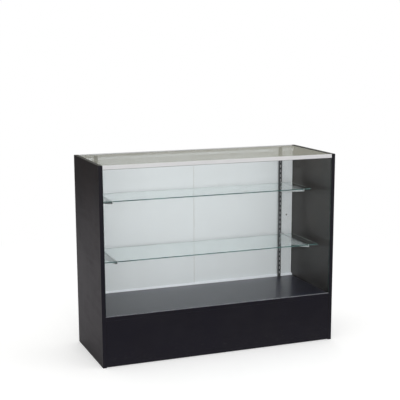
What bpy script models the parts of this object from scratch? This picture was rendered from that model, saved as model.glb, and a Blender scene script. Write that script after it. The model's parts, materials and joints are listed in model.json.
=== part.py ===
# Full view showcase: black end panels and base, glass front, top and shelves, two sliding doors at the back.
# Metres, Z up, the front towards -Y. The origin is on the floor under the middle of the case.

import math

import bmesh
import bpy

# Case
CASE_WIDTH = 1.2192
CASE_DEPTH = 0.4572
CASE_HEIGHT = 0.9652
DECK_HEIGHT = 0.248
BOARD_THICK = 0.019
BOARD_CHAMFER = 0.0008

# Clearances that several pieces share
SEAT_GAP = 0.0003
CUT_OVERRUN = 0.002
WELD_DISTANCE = 0.000001
ROUND_SIDES = 16

# Screw heads and door pulls: radius and height shares, from the middle out to the rim
PAN_HEAD_SHARES = [(0, 1), (0.7, 1), (1, 0.4), (1, 0)]
PULL_SHARES = [(0, 0.4), (0.6, 0.4), (0.76, 1), (0.9, 1), (1, 0.6), (1, 0)]

# Base boards
KICK_FLOOR_GAP = 0.003
KICK_SETBACK = 0.001
REAR_BASE_SETBACK = 0.001

# Cam fittings between the boards, with the radii of the bolt's head, neck and thread as shares of its own
CAM_RADIUS = 0.0075
CAM_FROM_EDGE = 0.034
CAM_INSET = 0.064
CAM_SLOT_WIDTH = 0.0014
CAM_SLOT_DEPTH = 0.002
BOLT_RADIUS = 0.0035
BOLT_HEAD_SHARE = 0.86
BOLT_NECK_SHARE = 0.5
BOLT_THREAD_SHARE = 0.86
BOLT_HEAD_LENGTH = 0.004
BOLT_NECK_LENGTH = 0.005
BOLT_THREAD_LENGTH = 0.011

# Glass
FRONT_GLASS_THICK = 0.0048
TOP_GLASS_THICK = 0.006
TOP_GLASS_RECESS = 0.0015
SHELF_GLASS_THICK = 0.0048
GLASS_SIDE_GAP = 0.0012
GLASS_CHAMFER = 0.0004

# Low clear channel under the front glass, let into a groove of the deck
CHANNEL_HEIGHT = 0.005
CHANNEL_WALL = 0.001
GROOVE_DEPTH = 0.003

# Top rails
RAIL_HEIGHT = 0.019
RAIL_WALL = 0.002
RAIL_WEB = 0.002
RAIL_SLOT_WALL = 0.0018
RAIL_BOSS = 0.0072
REAR_RAIL_LIP = 0.012
GASKET_THICK = 0.0009
GASKET_DROP = 0.0008

# Screws through the end panels into the rails
RAIL_SCREW_RADIUS = 0.0018
RAIL_SCREW_HEAD_RADIUS = 0.004
RAIL_SCREW_CONE = 0.0025
RAIL_SCREW_LENGTH = 0.038
SCREW_POINT = 0.003

# Door tracks and doors
TRACK_WALL = 0.002
TRACK_BASE = 0.002
BOTTOM_TRACK_HEIGHT = 0.012
TOP_TRACK_HEIGHT = 0.024
TRACK_REAR_SPACE = 0.0035
DOOR_THICK = 0.005
DOOR_CHAMFER = 0.0005
DOOR_SIDE_CLEARANCE = 0.001
DOOR_END_GAP = 0.001
DOOR_OVERLAP = 0.032
DOOR_TOP_REACH = 0.01

# Door pulls: low dished discs with a post through the door, so that one door can pass the other
PULL_FROM_EDGE = 0.033
PULL_FROM_FOOT = 0.336
PULL_RADIUS = 0.014
PULL_HEIGHT = 0.002
PULL_POST_RADIUS = 0.0024
PULL_SCREW_RADIUS = 0.0012
PULL_SCREW_HEAD_RADIUS = 0.0034
PULL_SCREW_HEAD_HEIGHT = 0.001
PULL_SCREW_END_SPACE = 0.0005

# Slotted standards
STANDARD_FROM_PANEL = 0.0826
STANDARD_WIDTH = 0.0159
STANDARD_DEPTH = 0.0079
STANDARD_GAUGE = 0.0015
STANDARD_TOP_GAP = 0.003
SLOT_PITCH = 0.0254
SLOT_HEIGHT = 0.014
STANDARD_SCREW_RADIUS = 0.0016
STANDARD_SCREW_HEAD_RADIUS = 0.0034
STANDARD_SCREW_HEAD_HEIGHT = 0.0018

# Feet under the standards
FOOT_WIDTH = 0.022
FOOT_PLATE = 0.0016
FOOT_TOE = 0.012
FOOT_PLUG_HEIGHT = 0.012
FOOT_SCREW_LENGTH = 0.012

# Shelf brackets
BRACKET_THICK = 0.0032
BRACKET_OVER_SLOT = 0.0123
BRACKET_TIP_DROP = 0.0065
BRACKET_LIP_THICK = 0.003
BRACKET_LIP_RISE = 0.0072
BRACKET_STOP_RISE = 0.005
UPPER_BRACKET_HEEL = 0.006
LOWER_BRACKET_HEEL = 0.015
HOOK_SIDE_CLEARANCE = 0.0004
HOOK_NECK = 0.006
HOOK_THICK = 0.003
HOOK_DROP = 0.005
CUSHION_THICK = 0.0012
CUSHION_SKIRT = 0.004

# Shelves, with their levels as shares of the row of slots
UPPER_LEVEL_SHARE = 0.73
LOWER_LEVEL_SHARE = 0.31
UPPER_SHELF_FRONT_GAP = 0.1314
LOWER_SHELF_FRONT_GAP = 0.0692
SHELF_REAR_GAP = 0.0417
SHELF_SIDE_GAP = 0.0254
UPPER_SHELF_SHIFT = 0.018
LOWER_SHELF_SHIFT = 0.005

# Places that follow from the sizes
FRONT_Y = -CASE_DEPTH / 2
REAR_Y = CASE_DEPTH / 2
INNER_X = CASE_WIDTH / 2 - BOARD_THICK
DECK_LOW = DECK_HEIGHT - BOARD_THICK
BASE_HIGH = DECK_LOW - SEAT_GAP
BASE_MIDDLE = (KICK_FLOOR_GAP + BASE_HIGH) / 2
KICK_Y = FRONT_Y + KICK_SETBACK
REAR_BASE_Y = REAR_Y - REAR_BASE_SETBACK
CAM_HEIGHT = BOARD_THICK / 2 + BOLT_RADIUS

TOP_GLASS_LOW = CASE_HEIGHT - TOP_GLASS_RECESS - TOP_GLASS_THICK
WEB_TOP = TOP_GLASS_LOW - SEAT_GAP
WEB_LOW = WEB_TOP - RAIL_WEB
RAIL_LOW = CASE_HEIGHT - RAIL_HEIGHT
LEG_MIDDLE = (RAIL_LOW + WEB_LOW) / 2
GASKET_FRONT_Y = FRONT_Y + RAIL_WALL + SEAT_GAP
FRONT_GLASS_Y = GASKET_FRONT_Y + GASKET_THICK + SEAT_GAP
FRONT_GLASS_BACK_Y = FRONT_GLASS_Y + FRONT_GLASS_THICK
SLOT_WALL_Y = FRONT_GLASS_BACK_Y + SEAT_GAP + GASKET_THICK + SEAT_GAP
FRONT_BOSS_Y = SLOT_WALL_Y + RAIL_SLOT_WALL
FRONT_RAIL_BACK_Y = FRONT_BOSS_Y + RAIL_BOSS
CHANNEL_LOW = DECK_HEIGHT - GROOVE_DEPTH + SEAT_GAP
CHANNEL_FRONT_Y = FRONT_GLASS_Y - SEAT_GAP - CHANNEL_WALL
CHANNEL_BACK_Y = FRONT_GLASS_BACK_Y + SEAT_GAP + CHANNEL_WALL

TRACK_LANE = DOOR_THICK + 2 * DOOR_SIDE_CLEARANCE
TRACK_DEPTH = 2 * TRACK_LANE + 3 * TRACK_WALL
REAR_BOSS_Y = REAR_Y - RAIL_WALL - RAIL_BOSS
TRACK_Y = REAR_BOSS_Y - TRACK_REAR_SPACE - TRACK_DEPTH
REAR_RAIL_FRONT_Y = TRACK_Y - SEAT_GAP - RAIL_WALL
LIP_Y = REAR_Y - REAR_RAIL_LIP
TOP_TRACK_HIGH = WEB_LOW - SEAT_GAP
TOP_TRACK_LOW = TOP_TRACK_HIGH - TOP_TRACK_HEIGHT
LEFT_DOOR_Y = TRACK_Y + TRACK_WALL + DOOR_SIDE_CLEARANCE
RIGHT_DOOR_Y = LEFT_DOOR_Y + TRACK_LANE + TRACK_WALL
DOOR_LOW = DECK_HEIGHT + SEAT_GAP + TRACK_BASE + SEAT_GAP
DOOR_HIGH = TOP_TRACK_LOW + DOOR_TOP_REACH
PULL_Z = DOOR_LOW + PULL_FROM_FOOT

STANDARD_X = INNER_X - STANDARD_FROM_PANEL
STANDARD_BACK_Y = REAR_RAIL_FRONT_Y - SEAT_GAP
STANDARD_Y = STANDARD_BACK_Y - STANDARD_DEPTH
FOOT_LOW = DECK_HEIGHT + SEAT_GAP
STANDARD_LOW = FOOT_LOW + FOOT_PLATE + SEAT_GAP
STANDARD_HIGH = TOP_GLASS_LOW - STANDARD_TOP_GAP
SLOT_LIMIT = LEG_MIDDLE - STANDARD_SCREW_HEAD_RADIUS - SLOT_HEIGHT / 2
SLOT_COUNT = int((SLOT_LIMIT - DECK_HEIGHT) / SLOT_PITCH)
SLOT_WIDTH = BRACKET_THICK + 2 * HOOK_SIDE_CLEARANCE
HOOK_LOW = -SLOT_HEIGHT / 2 + SEAT_GAP

ALONG_X = (math.pi / 2, 0, math.pi / 2)
ALONG_Y = (math.pi / 2, 0, 0)
ALONG_Z = (0, 0, 0)
TURNED_REARWARD = (-math.pi / 2, 0, 0)
TURNED_FORWARD = (math.pi / 2, 0, 0)
TURNED_RIGHT = (0, math.pi / 2, 0)
TURNED_LEFT = (0, -math.pi / 2, 0)
SMOOTH_BELOW = math.radians(40)


def clear_scene():
    for old in list(bpy.data.objects):
        bpy.data.objects.remove(old)


def new_collection(name):
    collection = bpy.data.collections.new(name)
    bpy.context.scene.collection.children.link(collection)
    return collection


def new_look(name, colour, roughness, metallic=0.0, transmission=0.0):
    look = bpy.data.materials.new(name)
    look.use_nodes = True
    shader = look.node_tree.nodes["Principled BSDF"]
    shader.inputs["Base Color"].default_value = (*colour, 1)
    shader.inputs["Roughness"].default_value = roughness
    shader.inputs["Metallic"].default_value = metallic
    shader.inputs["Transmission Weight"].default_value = transmission
    look.diffuse_color = (*colour, 1)
    return look


clear_scene()
PARTS = new_collection("full_view_showcase")
CUTTERS = new_collection("cutters")

BLACK_BOARD = new_look("black_melamine", (0.022, 0.021, 0.022), 0.35)
RAW_BOARD = new_look("underside_board", (0.05, 0.048, 0.046), 0.6)
CLEAR_GLASS = new_look("clear_glass", (0.93, 0.97, 0.96), 0.02, transmission=1.0)
CLEAR_VINYL = new_look("clear_vinyl", (0.75, 0.77, 0.77), 0.3, transmission=0.6)
BLACK_VINYL = new_look("black_vinyl", (0.03, 0.03, 0.03), 0.6)
SATIN_ALUMINIUM = new_look("satin_aluminium", (0.70, 0.70, 0.69), 0.35, metallic=1.0)
WHITE_TRACK = new_look("white_track", (0.72, 0.74, 0.75), 0.4)
WHITE_DOOR = new_look("white_door", (0.66, 0.69, 0.69), 0.45)
BLACK_STEEL = new_look("black_steel", (0.045, 0.045, 0.047), 0.4, metallic=0.6)
BRIGHT_STEEL = new_look("bright_steel", (0.62, 0.62, 0.62), 0.25, metallic=1.0)
BLACK_PLASTIC = new_look("black_plastic", (0.03, 0.03, 0.03), 0.5)
CAST_ZINC = new_look("cast_zinc", (0.45, 0.45, 0.46), 0.5, metallic=1.0)


def add_part(name, mesh, look, location=(0, 0, 0), rotation=(0, 0, 0)):
    part = bpy.data.objects.new(name, mesh)
    PARTS.objects.link(part)
    mesh.materials.clear()
    mesh.materials.append(look)
    part.location = location
    part.rotation_euler = rotation
    return part


def add_cutter(name, mesh, location=(0, 0, 0), rotation=(0, 0, 0)):
    cutter = bpy.data.objects.new(name, mesh)
    CUTTERS.objects.link(cutter)
    cutter.location = location
    cutter.rotation_euler = rotation
    cutter.hide_render = True
    cutter.display_type = "WIRE"
    return cutter


def cut(part, cutter):
    carve = part.modifiers.new("cut_" + cutter.name, "BOOLEAN")
    carve.operation = "DIFFERENCE"
    carve.object = cutter


def chamfer(part, width):
    bevel = part.modifiers.new("chamfer", "BEVEL")
    bevel.width = width
    bevel.segments = 1
    bevel.limit_method = "ANGLE"


def box_mesh(name, size):
    mesh = bpy.data.meshes.new(name)
    shape = bmesh.new()
    bmesh.ops.create_cube(shape, size=1)
    bmesh.ops.scale(shape, vec=size, verts=shape.verts)
    shape.to_mesh(mesh)
    shape.free()
    return mesh


def middle_and_size(low, high):
    middle = [(a + b) / 2 for a, b in zip(low, high)]
    size = [b - a for a, b in zip(low, high)]
    return middle, size


def add_box(name, low, high, look, edge):
    middle, size = middle_and_size(low, high)
    part = add_part(name, box_mesh(name, size), look, middle)
    chamfer(part, edge)
    return part


def add_box_cutter(name, low, high):
    middle, size = middle_and_size(low, high)
    return add_cutter(name, box_mesh(name, size), middle)


def add_drill(name, radius, length, location, rotation):
    mesh = bpy.data.meshes.new(name)
    shape = bmesh.new()
    bmesh.ops.create_cone(
        shape, cap_ends=True, segments=ROUND_SIDES, radius1=radius, radius2=radius, depth=length
    )
    shape.to_mesh(mesh)
    shape.free()
    return add_cutter(name, mesh, location, rotation)


# A flat outline given thickness: a filled 2D curve, made a mesh so that it can be cut
def outline_mesh(name, outline, thickness):
    curve = bpy.data.curves.new(name, "CURVE")
    curve.dimensions = "2D"
    curve.fill_mode = "BOTH"
    curve.extrude = thickness / 2
    spline = curve.splines.new("POLY")
    spline.points.add(len(outline) - 1)
    for point, (x, y) in zip(spline.points, outline):
        point.co = (x, y, 0, 1)
    spline.use_cyclic_u = True
    guide = bpy.data.objects.new(name + "_outline", curve)
    CUTTERS.objects.link(guide)
    graph = bpy.context.evaluated_depsgraph_get()
    mesh = bpy.data.meshes.new_from_object(guide.evaluated_get(graph))
    bpy.data.objects.remove(guide)
    bpy.data.curves.remove(curve)
    shape = bmesh.new()
    shape.from_mesh(mesh)
    bmesh.ops.remove_doubles(shape, verts=shape.verts, dist=WELD_DISTANCE)
    bmesh.ops.recalc_face_normals(shape, faces=shape.faces)
    shape.to_mesh(mesh)
    shape.free()
    mesh.name = name
    return mesh


# A turned shape: (radius, height) points from the top of the axis, down the outer side, to its foot
def turned_mesh(name, profile):
    mesh = bpy.data.meshes.new(name)
    shape = bmesh.new()
    points = [shape.verts.new((radius, 0, height)) for radius, height in profile]
    for first, second in zip(points, points[1:]):
        shape.edges.new((first, second))
    shape.to_mesh(mesh)
    shape.free()
    return mesh


def turn(part):
    spin = part.modifiers.new("turn", "SCREW")
    spin.axis = "Z"
    spin.angle = 2 * math.pi
    spin.steps = ROUND_SIDES
    spin.render_steps = ROUND_SIDES
    spin.use_merge_vertices = True
    spin.merge_threshold = WELD_DISTANCE
    spin.use_smooth_shade = False


def add_turned(name, profile, look, location, rotation):
    part = add_part(name, turned_mesh(name, profile), look, location, rotation)
    turn(part)
    return part


def add_turned_cutter(name, profile, location, rotation):
    cutter = add_cutter(name, turned_mesh(name, profile), location, rotation)
    turn(cutter)
    return cutter


def add_carrier(name, location):
    carrier = bpy.data.objects.new(name, None)
    PARTS.objects.link(carrier)
    carrier.location = location
    return carrier


def carry(part, carrier):
    part.location = [a - b for a, b in zip(part.location, carrier.location)]
    part.parent = carrier


def scaled_profile(shares, radius, height):
    return [(radius * across, height * up) for across, up in shares]


def pan_screw_profile(radius, head_radius, head_height, length):
    head = scaled_profile(PAN_HEAD_SHARES, head_radius, head_height)
    return head + [(radius, 0), (radius, radius - length), (0, -length)]


# Boards
def make_end_panel(side, name):
    outer = side * CASE_WIDTH / 2
    inner = side * INNER_X
    low = (min(outer, inner), FRONT_Y, 0)
    high = (max(outer, inner), REAR_Y, CASE_HEIGHT)
    return add_box(name, low, high, BLACK_BOARD, BOARD_CHAMFER)


def make_deck():
    low = (-INNER_X + SEAT_GAP, FRONT_Y, DECK_LOW)
    high = (INNER_X - SEAT_GAP, REAR_Y, DECK_HEIGHT)
    deck = add_box("deck_panel", low, high, BLACK_BOARD, BOARD_CHAMFER)
    groove_low = (-INNER_X, CHANNEL_FRONT_Y - SEAT_GAP, DECK_HEIGHT - GROOVE_DEPTH)
    groove_high = (INNER_X, CHANNEL_BACK_Y + SEAT_GAP, DECK_HEIGHT + CUT_OVERRUN)
    cut(deck, add_box_cutter("front_groove", groove_low, groove_high))
    return deck


def make_kick():
    low = (-INNER_X + SEAT_GAP, KICK_Y, KICK_FLOOR_GAP)
    high = (INNER_X - SEAT_GAP, KICK_Y + BOARD_THICK, BASE_HIGH)
    return add_box("kick_panel", low, high, BLACK_BOARD, BOARD_CHAMFER)


def make_rear_base():
    low = (-INNER_X + SEAT_GAP, REAR_BASE_Y - BOARD_THICK, KICK_FLOOR_GAP)
    high = (INNER_X - SEAT_GAP, REAR_BASE_Y, BASE_HIGH)
    return add_box("rear_base_panel", low, high, BLACK_BOARD, BOARD_CHAMFER)


def make_centre_support():
    low = (-BOARD_THICK / 2, KICK_Y + BOARD_THICK + SEAT_GAP, KICK_FLOOR_GAP)
    high = (BOARD_THICK / 2, REAR_BASE_Y - BOARD_THICK - SEAT_GAP, BASE_HIGH)
    return add_box("centre_support", low, high, RAW_BOARD, BOARD_CHAMFER)


# A cam in a pocket of one board, and the bolt that it draws in from the end panel.
# The pocket opens downwards in the deck, and towards the inside in the kick and the rear base.
def make_cam_joint(place, side, board, panel, y, z, opens):
    cam_x = side * (INNER_X - CAM_FROM_EDGE)
    name = place + ("_left" if side < 0 else "_right")
    if opens == "down":
        mouth = (cam_x, y, z - BOARD_THICK / 2)
        rotation = (math.pi, 0, 0)
    else:
        mouth = (cam_x, y + opens * BOARD_THICK / 2, z)
        rotation = TURNED_REARWARD if opens > 0 else TURNED_FORWARD

    disc = [(0, -SEAT_GAP), (CAM_RADIUS, -SEAT_GAP), (CAM_RADIUS, -CAM_HEIGHT), (0, -CAM_HEIGHT)]
    cam = add_turned("cam_" + name, disc, CAST_ZINC, mouth, rotation)
    reach = CAM_RADIUS + CUT_OVERRUN
    half_notch = BOLT_RADIUS + SEAT_GAP
    notch_x = sorted((cam_x - side * half_notch, cam_x + side * reach))
    notch = add_box_cutter(
        "notch_" + name,
        (notch_x[0], y - half_notch, z - half_notch),
        (notch_x[1], y + half_notch, z + half_notch),
    )
    cut(cam, notch)
    slot = [-CAM_RADIUS / 2, -CAM_SLOT_WIDTH / 2, -CAM_SLOT_DEPTH]
    slot_middle, slot_size = middle_and_size(slot, [-slot[0], -slot[1], CUT_OVERRUN])
    slot_cutter = add_cutter("slot_" + name, box_mesh("slot_" + name, slot_size), mouth, rotation)
    for vertex in slot_cutter.data.vertices:
        vertex.co.z += slot_middle[2]
    cut(cam, slot_cutter)

    pocket_radius = CAM_RADIUS + SEAT_GAP
    pocket = [
        (0, CUT_OVERRUN),
        (pocket_radius, CUT_OVERRUN),
        (pocket_radius, -CAM_HEIGHT - SEAT_GAP),
        (0, -CAM_HEIGHT - SEAT_GAP),
    ]
    cut(board, add_turned_cutter("pocket_" + name, pocket, mouth, rotation))

    # Heights along the bolt run from the joint between board and panel towards the cam
    head_radius = BOLT_RADIUS * BOLT_HEAD_SHARE
    neck_radius = BOLT_RADIUS * BOLT_NECK_SHARE
    thread_radius = BOLT_RADIUS * BOLT_THREAD_SHARE
    head_high = CAM_FROM_EDGE + head_radius
    neck_high = head_high - BOLT_HEAD_LENGTH
    neck_low = neck_high - BOLT_NECK_LENGTH
    bolt = [
        (0, head_high),
        (head_radius, head_high),
        (head_radius, neck_high),
        (neck_radius, neck_high),
        (neck_radius, neck_low),
        (BOLT_RADIUS, neck_low),
        (BOLT_RADIUS, SEAT_GAP),
        (thread_radius, SEAT_GAP),
        (thread_radius, -BOLT_THREAD_LENGTH),
        (0, -BOLT_THREAD_LENGTH),
    ]
    joint = (side * INNER_X, y, z)
    inward = TURNED_LEFT if side > 0 else TURNED_RIGHT
    add_turned("bolt_" + name, bolt, BRIGHT_STEEL, joint, inward)

    bore_radius = BOLT_RADIUS + SEAT_GAP
    bore_high = head_high + SEAT_GAP
    bore = [(0, bore_high), (bore_radius, bore_high), (bore_radius, -SEAT_GAP), (0, -SEAT_GAP)]
    cut(board, add_turned_cutter("bore_" + name, bore, joint, inward))
    hole_radius = thread_radius + SEAT_GAP
    hole_low = -BOLT_THREAD_LENGTH - SEAT_GAP
    hole = [(0, CUT_OVERRUN), (hole_radius, CUT_OVERRUN), (hole_radius, hole_low), (0, hole_low)]
    cut(panel, add_turned_cutter("hole_" + name, hole, joint, inward))


def make_cam_joints(panels, deck, kick, rear_base):
    for side, panel in panels.items():
        deck_middle = DECK_LOW + BOARD_THICK / 2
        make_cam_joint("deck_front", side, deck, panel, FRONT_Y + CAM_INSET, deck_middle, "down")
        make_cam_joint("deck_rear", side, deck, panel, REAR_Y - CAM_INSET, deck_middle, "down")
        make_cam_joint("kick", side, kick, panel, KICK_Y + BOARD_THICK / 2, BASE_MIDDLE, 1)
        rear_middle = REAR_BASE_Y - BOARD_THICK / 2
        make_cam_joint("rear_base", side, rear_base, panel, rear_middle, BASE_MIDDLE, -1)


# Top frame
def rail_length():
    return 2 * (INNER_X - SEAT_GAP)


def make_front_rail():
    outline = [
        (FRONT_Y, RAIL_LOW),
        (FRONT_Y + RAIL_WALL, RAIL_LOW),
        (FRONT_Y + RAIL_WALL, WEB_LOW),
        (SLOT_WALL_Y, WEB_LOW),
        (SLOT_WALL_Y, RAIL_LOW),
        (FRONT_RAIL_BACK_Y, RAIL_LOW),
        (FRONT_RAIL_BACK_Y, WEB_TOP),
        (FRONT_Y + RAIL_WALL, WEB_TOP),
        (FRONT_Y + RAIL_WALL, CASE_HEIGHT),
        (FRONT_Y, CASE_HEIGHT),
    ]
    mesh = outline_mesh("front_top_rail", outline, rail_length())
    return add_part("front_top_rail", mesh, SATIN_ALUMINIUM, rotation=ALONG_X)


def make_rear_rail():
    wall_y = REAR_Y - RAIL_WALL
    outline = [
        (REAR_Y, RAIL_LOW),
        (REAR_Y, CASE_HEIGHT),
        (LIP_Y, CASE_HEIGHT),
        (LIP_Y, WEB_TOP),
        (REAR_RAIL_FRONT_Y, WEB_TOP),
        (REAR_RAIL_FRONT_Y, RAIL_LOW),
        (REAR_RAIL_FRONT_Y + RAIL_WALL, RAIL_LOW),
        (REAR_RAIL_FRONT_Y + RAIL_WALL, WEB_LOW),
        (LIP_Y + RAIL_WALL, WEB_LOW),
        (LIP_Y + RAIL_WALL, CASE_HEIGHT - RAIL_WALL),
        (wall_y, CASE_HEIGHT - RAIL_WALL),
        (wall_y, WEB_LOW),
        (REAR_BOSS_Y, WEB_LOW),
        (REAR_BOSS_Y, RAIL_LOW),
    ]
    mesh = outline_mesh("rear_top_rail", outline, rail_length())
    return add_part("rear_top_rail", mesh, SATIN_ALUMINIUM, rotation=ALONG_X)


def make_rail_screws(panels, front_rail, rear_rail):
    spots = {
        "front": (front_rail, FRONT_BOSS_Y + RAIL_BOSS / 2),
        "rear": (rear_rail, REAR_BOSS_Y + RAIL_BOSS / 2),
    }
    shank = RAIL_SCREW_RADIUS
    profile = [
        (0, -SEAT_GAP),
        (RAIL_SCREW_HEAD_RADIUS, -SEAT_GAP),
        (shank, -RAIL_SCREW_CONE),
        (shank, SCREW_POINT - RAIL_SCREW_LENGTH),
        (0, -RAIL_SCREW_LENGTH),
    ]
    mouth = RAIL_SCREW_HEAD_RADIUS + SEAT_GAP
    hole = [
        (0, CUT_OVERRUN),
        (mouth, CUT_OVERRUN),
        (mouth, -SEAT_GAP),
        (shank + SEAT_GAP, -RAIL_SCREW_CONE - SEAT_GAP),
        (shank + SEAT_GAP, -RAIL_SCREW_LENGTH - SEAT_GAP),
        (0, -RAIL_SCREW_LENGTH - SEAT_GAP),
    ]
    for side, panel in panels.items():
        outward = TURNED_RIGHT if side > 0 else TURNED_LEFT
        for end, (rail, y) in spots.items():
            name = "rail_screw_" + end + ("_left" if side < 0 else "_right")
            place = (side * CASE_WIDTH / 2, y, LEG_MIDDLE)
            add_turned(name, profile, BLACK_STEEL, place, outward)
            drill = add_turned_cutter(name + "_hole", hole, place, outward)
            cut(panel, drill)
            cut(rail, drill)


# Glazing
def make_front_glass():
    half = INNER_X - GLASS_SIDE_GAP
    floor_z = CHANNEL_LOW + CHANNEL_WALL
    low = (-half, FRONT_GLASS_Y, floor_z + SEAT_GAP)
    high = (half, FRONT_GLASS_BACK_Y, WEB_LOW - SEAT_GAP - GASKET_THICK - SEAT_GAP)
    add_box("glass_front", low, high, CLEAR_GLASS, GLASS_CHAMFER)

    # The clear channel holds its foot
    channel_high = CHANNEL_LOW + CHANNEL_HEIGHT
    channel = [
        (CHANNEL_FRONT_Y, CHANNEL_LOW),
        (CHANNEL_BACK_Y, CHANNEL_LOW),
        (CHANNEL_BACK_Y, channel_high),
        (CHANNEL_BACK_Y - CHANNEL_WALL, channel_high),
        (CHANNEL_BACK_Y - CHANNEL_WALL, floor_z),
        (CHANNEL_FRONT_Y + CHANNEL_WALL, floor_z),
        (CHANNEL_FRONT_Y + CHANNEL_WALL, channel_high),
        (CHANNEL_FRONT_Y, channel_high),
    ]
    mesh = outline_mesh("front_glass_channel", channel, rail_length())
    add_part("front_glass_channel", mesh, CLEAR_VINYL, rotation=ALONG_X)

    # The gasket wraps its head inside the rail and shows as a thin line below it
    gasket_back = SLOT_WALL_Y - SEAT_GAP
    gasket_high = WEB_LOW - SEAT_GAP
    gasket_low = RAIL_LOW - GASKET_DROP
    gasket = [
        (GASKET_FRONT_Y, gasket_low),
        (GASKET_FRONT_Y, gasket_high),
        (gasket_back, gasket_high),
        (gasket_back, gasket_low),
        (gasket_back - GASKET_THICK, gasket_low),
        (gasket_back - GASKET_THICK, gasket_high - GASKET_THICK),
        (GASKET_FRONT_Y + GASKET_THICK, gasket_high - GASKET_THICK),
        (GASKET_FRONT_Y + GASKET_THICK, gasket_low),
    ]
    mesh = outline_mesh("front_glass_gasket", gasket, rail_length())
    add_part("front_glass_gasket", mesh, BLACK_VINYL, rotation=ALONG_X)


def make_top_glass():
    half = INNER_X - GLASS_SIDE_GAP
    low = (-half, FRONT_Y + RAIL_WALL + SEAT_GAP, TOP_GLASS_LOW)
    high = (half, LIP_Y - SEAT_GAP, TOP_GLASS_LOW + TOP_GLASS_THICK)
    add_box("glass_top", low, high, CLEAR_GLASS, GLASS_CHAMFER)


# Doors and their tracks
def track_outline(base_z, mouth_z):
    edge = TRACK_Y
    floor_z = base_z + math.copysign(TRACK_BASE, mouth_z - base_z)
    outline = [(edge, base_z)]
    for _ in range(2):
        outline += [
            (edge, mouth_z),
            (edge + TRACK_WALL, mouth_z),
            (edge + TRACK_WALL, floor_z),
            (edge + TRACK_WALL + TRACK_LANE, floor_z),
        ]
        edge += TRACK_WALL + TRACK_LANE
    outline += [(edge, mouth_z), (edge + TRACK_WALL, mouth_z), (edge + TRACK_WALL, base_z)]
    return outline


def make_tracks():
    bottom = DECK_HEIGHT + SEAT_GAP
    rows = {
        "door_track_bottom": (bottom, bottom + BOTTOM_TRACK_HEIGHT),
        "door_track_top": (TOP_TRACK_HIGH, TOP_TRACK_LOW),
    }
    for name, (base_z, mouth_z) in rows.items():
        mesh = outline_mesh(name, track_outline(base_z, mouth_z), rail_length())
        add_part(name, mesh, WHITE_TRACK, rotation=ALONG_X)


def make_door(side, door_y):
    word = "left" if side < 0 else "right"
    outer = side * (INNER_X - DOOR_END_GAP)
    inner = -side * DOOR_OVERLAP / 2
    low = (min(outer, inner), door_y, DOOR_LOW)
    high = (max(outer, inner), door_y + DOOR_THICK, DOOR_HIGH)
    door = add_box("door_" + word, low, high, WHITE_DOOR, DOOR_CHAMFER)

    pull_x = side * (INNER_X - DOOR_END_GAP - PULL_FROM_EDGE)
    back = door_y + DOOR_THICK + SEAT_GAP
    bore = PULL_SCREW_RADIUS + SEAT_GAP
    shank = DOOR_THICK - PULL_SCREW_END_SPACE
    bore_high = shank - DOOR_THICK - SEAT_GAP
    disc = scaled_profile(PULL_SHARES, PULL_RADIUS, PULL_HEIGHT) + [
        (PULL_POST_RADIUS, 0),
        (PULL_POST_RADIUS, -DOOR_THICK),
        (bore, -DOOR_THICK),
        (bore, bore_high),
        (0, bore_high),
    ]
    pull = add_turned("door_pull_" + word, disc, BLACK_PLASTIC, (pull_x, back, PULL_Z), TURNED_REARWARD)

    profile = pan_screw_profile(
        PULL_SCREW_RADIUS, PULL_SCREW_HEAD_RADIUS, PULL_SCREW_HEAD_HEIGHT, shank
    )
    place = (pull_x, door_y - SEAT_GAP, PULL_Z)
    screw = add_turned("door_pull_screw_" + word, profile, BLACK_STEEL, place, TURNED_FORWARD)

    drill_length = DOOR_THICK + 2 * CUT_OVERRUN
    drill_place = (pull_x, door_y + DOOR_THICK / 2, PULL_Z)
    drill_radius = PULL_POST_RADIUS + SEAT_GAP
    drill = add_drill("pull_hole_" + word, drill_radius, drill_length, drill_place, TURNED_REARWARD)
    cut(door, drill)

    carrier = add_carrier("door_slide_" + word, ((outer + inner) / 2, door_y, DOOR_LOW))
    for piece in (door, pull, screw, drill):
        carry(piece, carrier)


# Standards
def slot_height(number):
    return DECK_HEIGHT + (number + 1) * SLOT_PITCH


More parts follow.
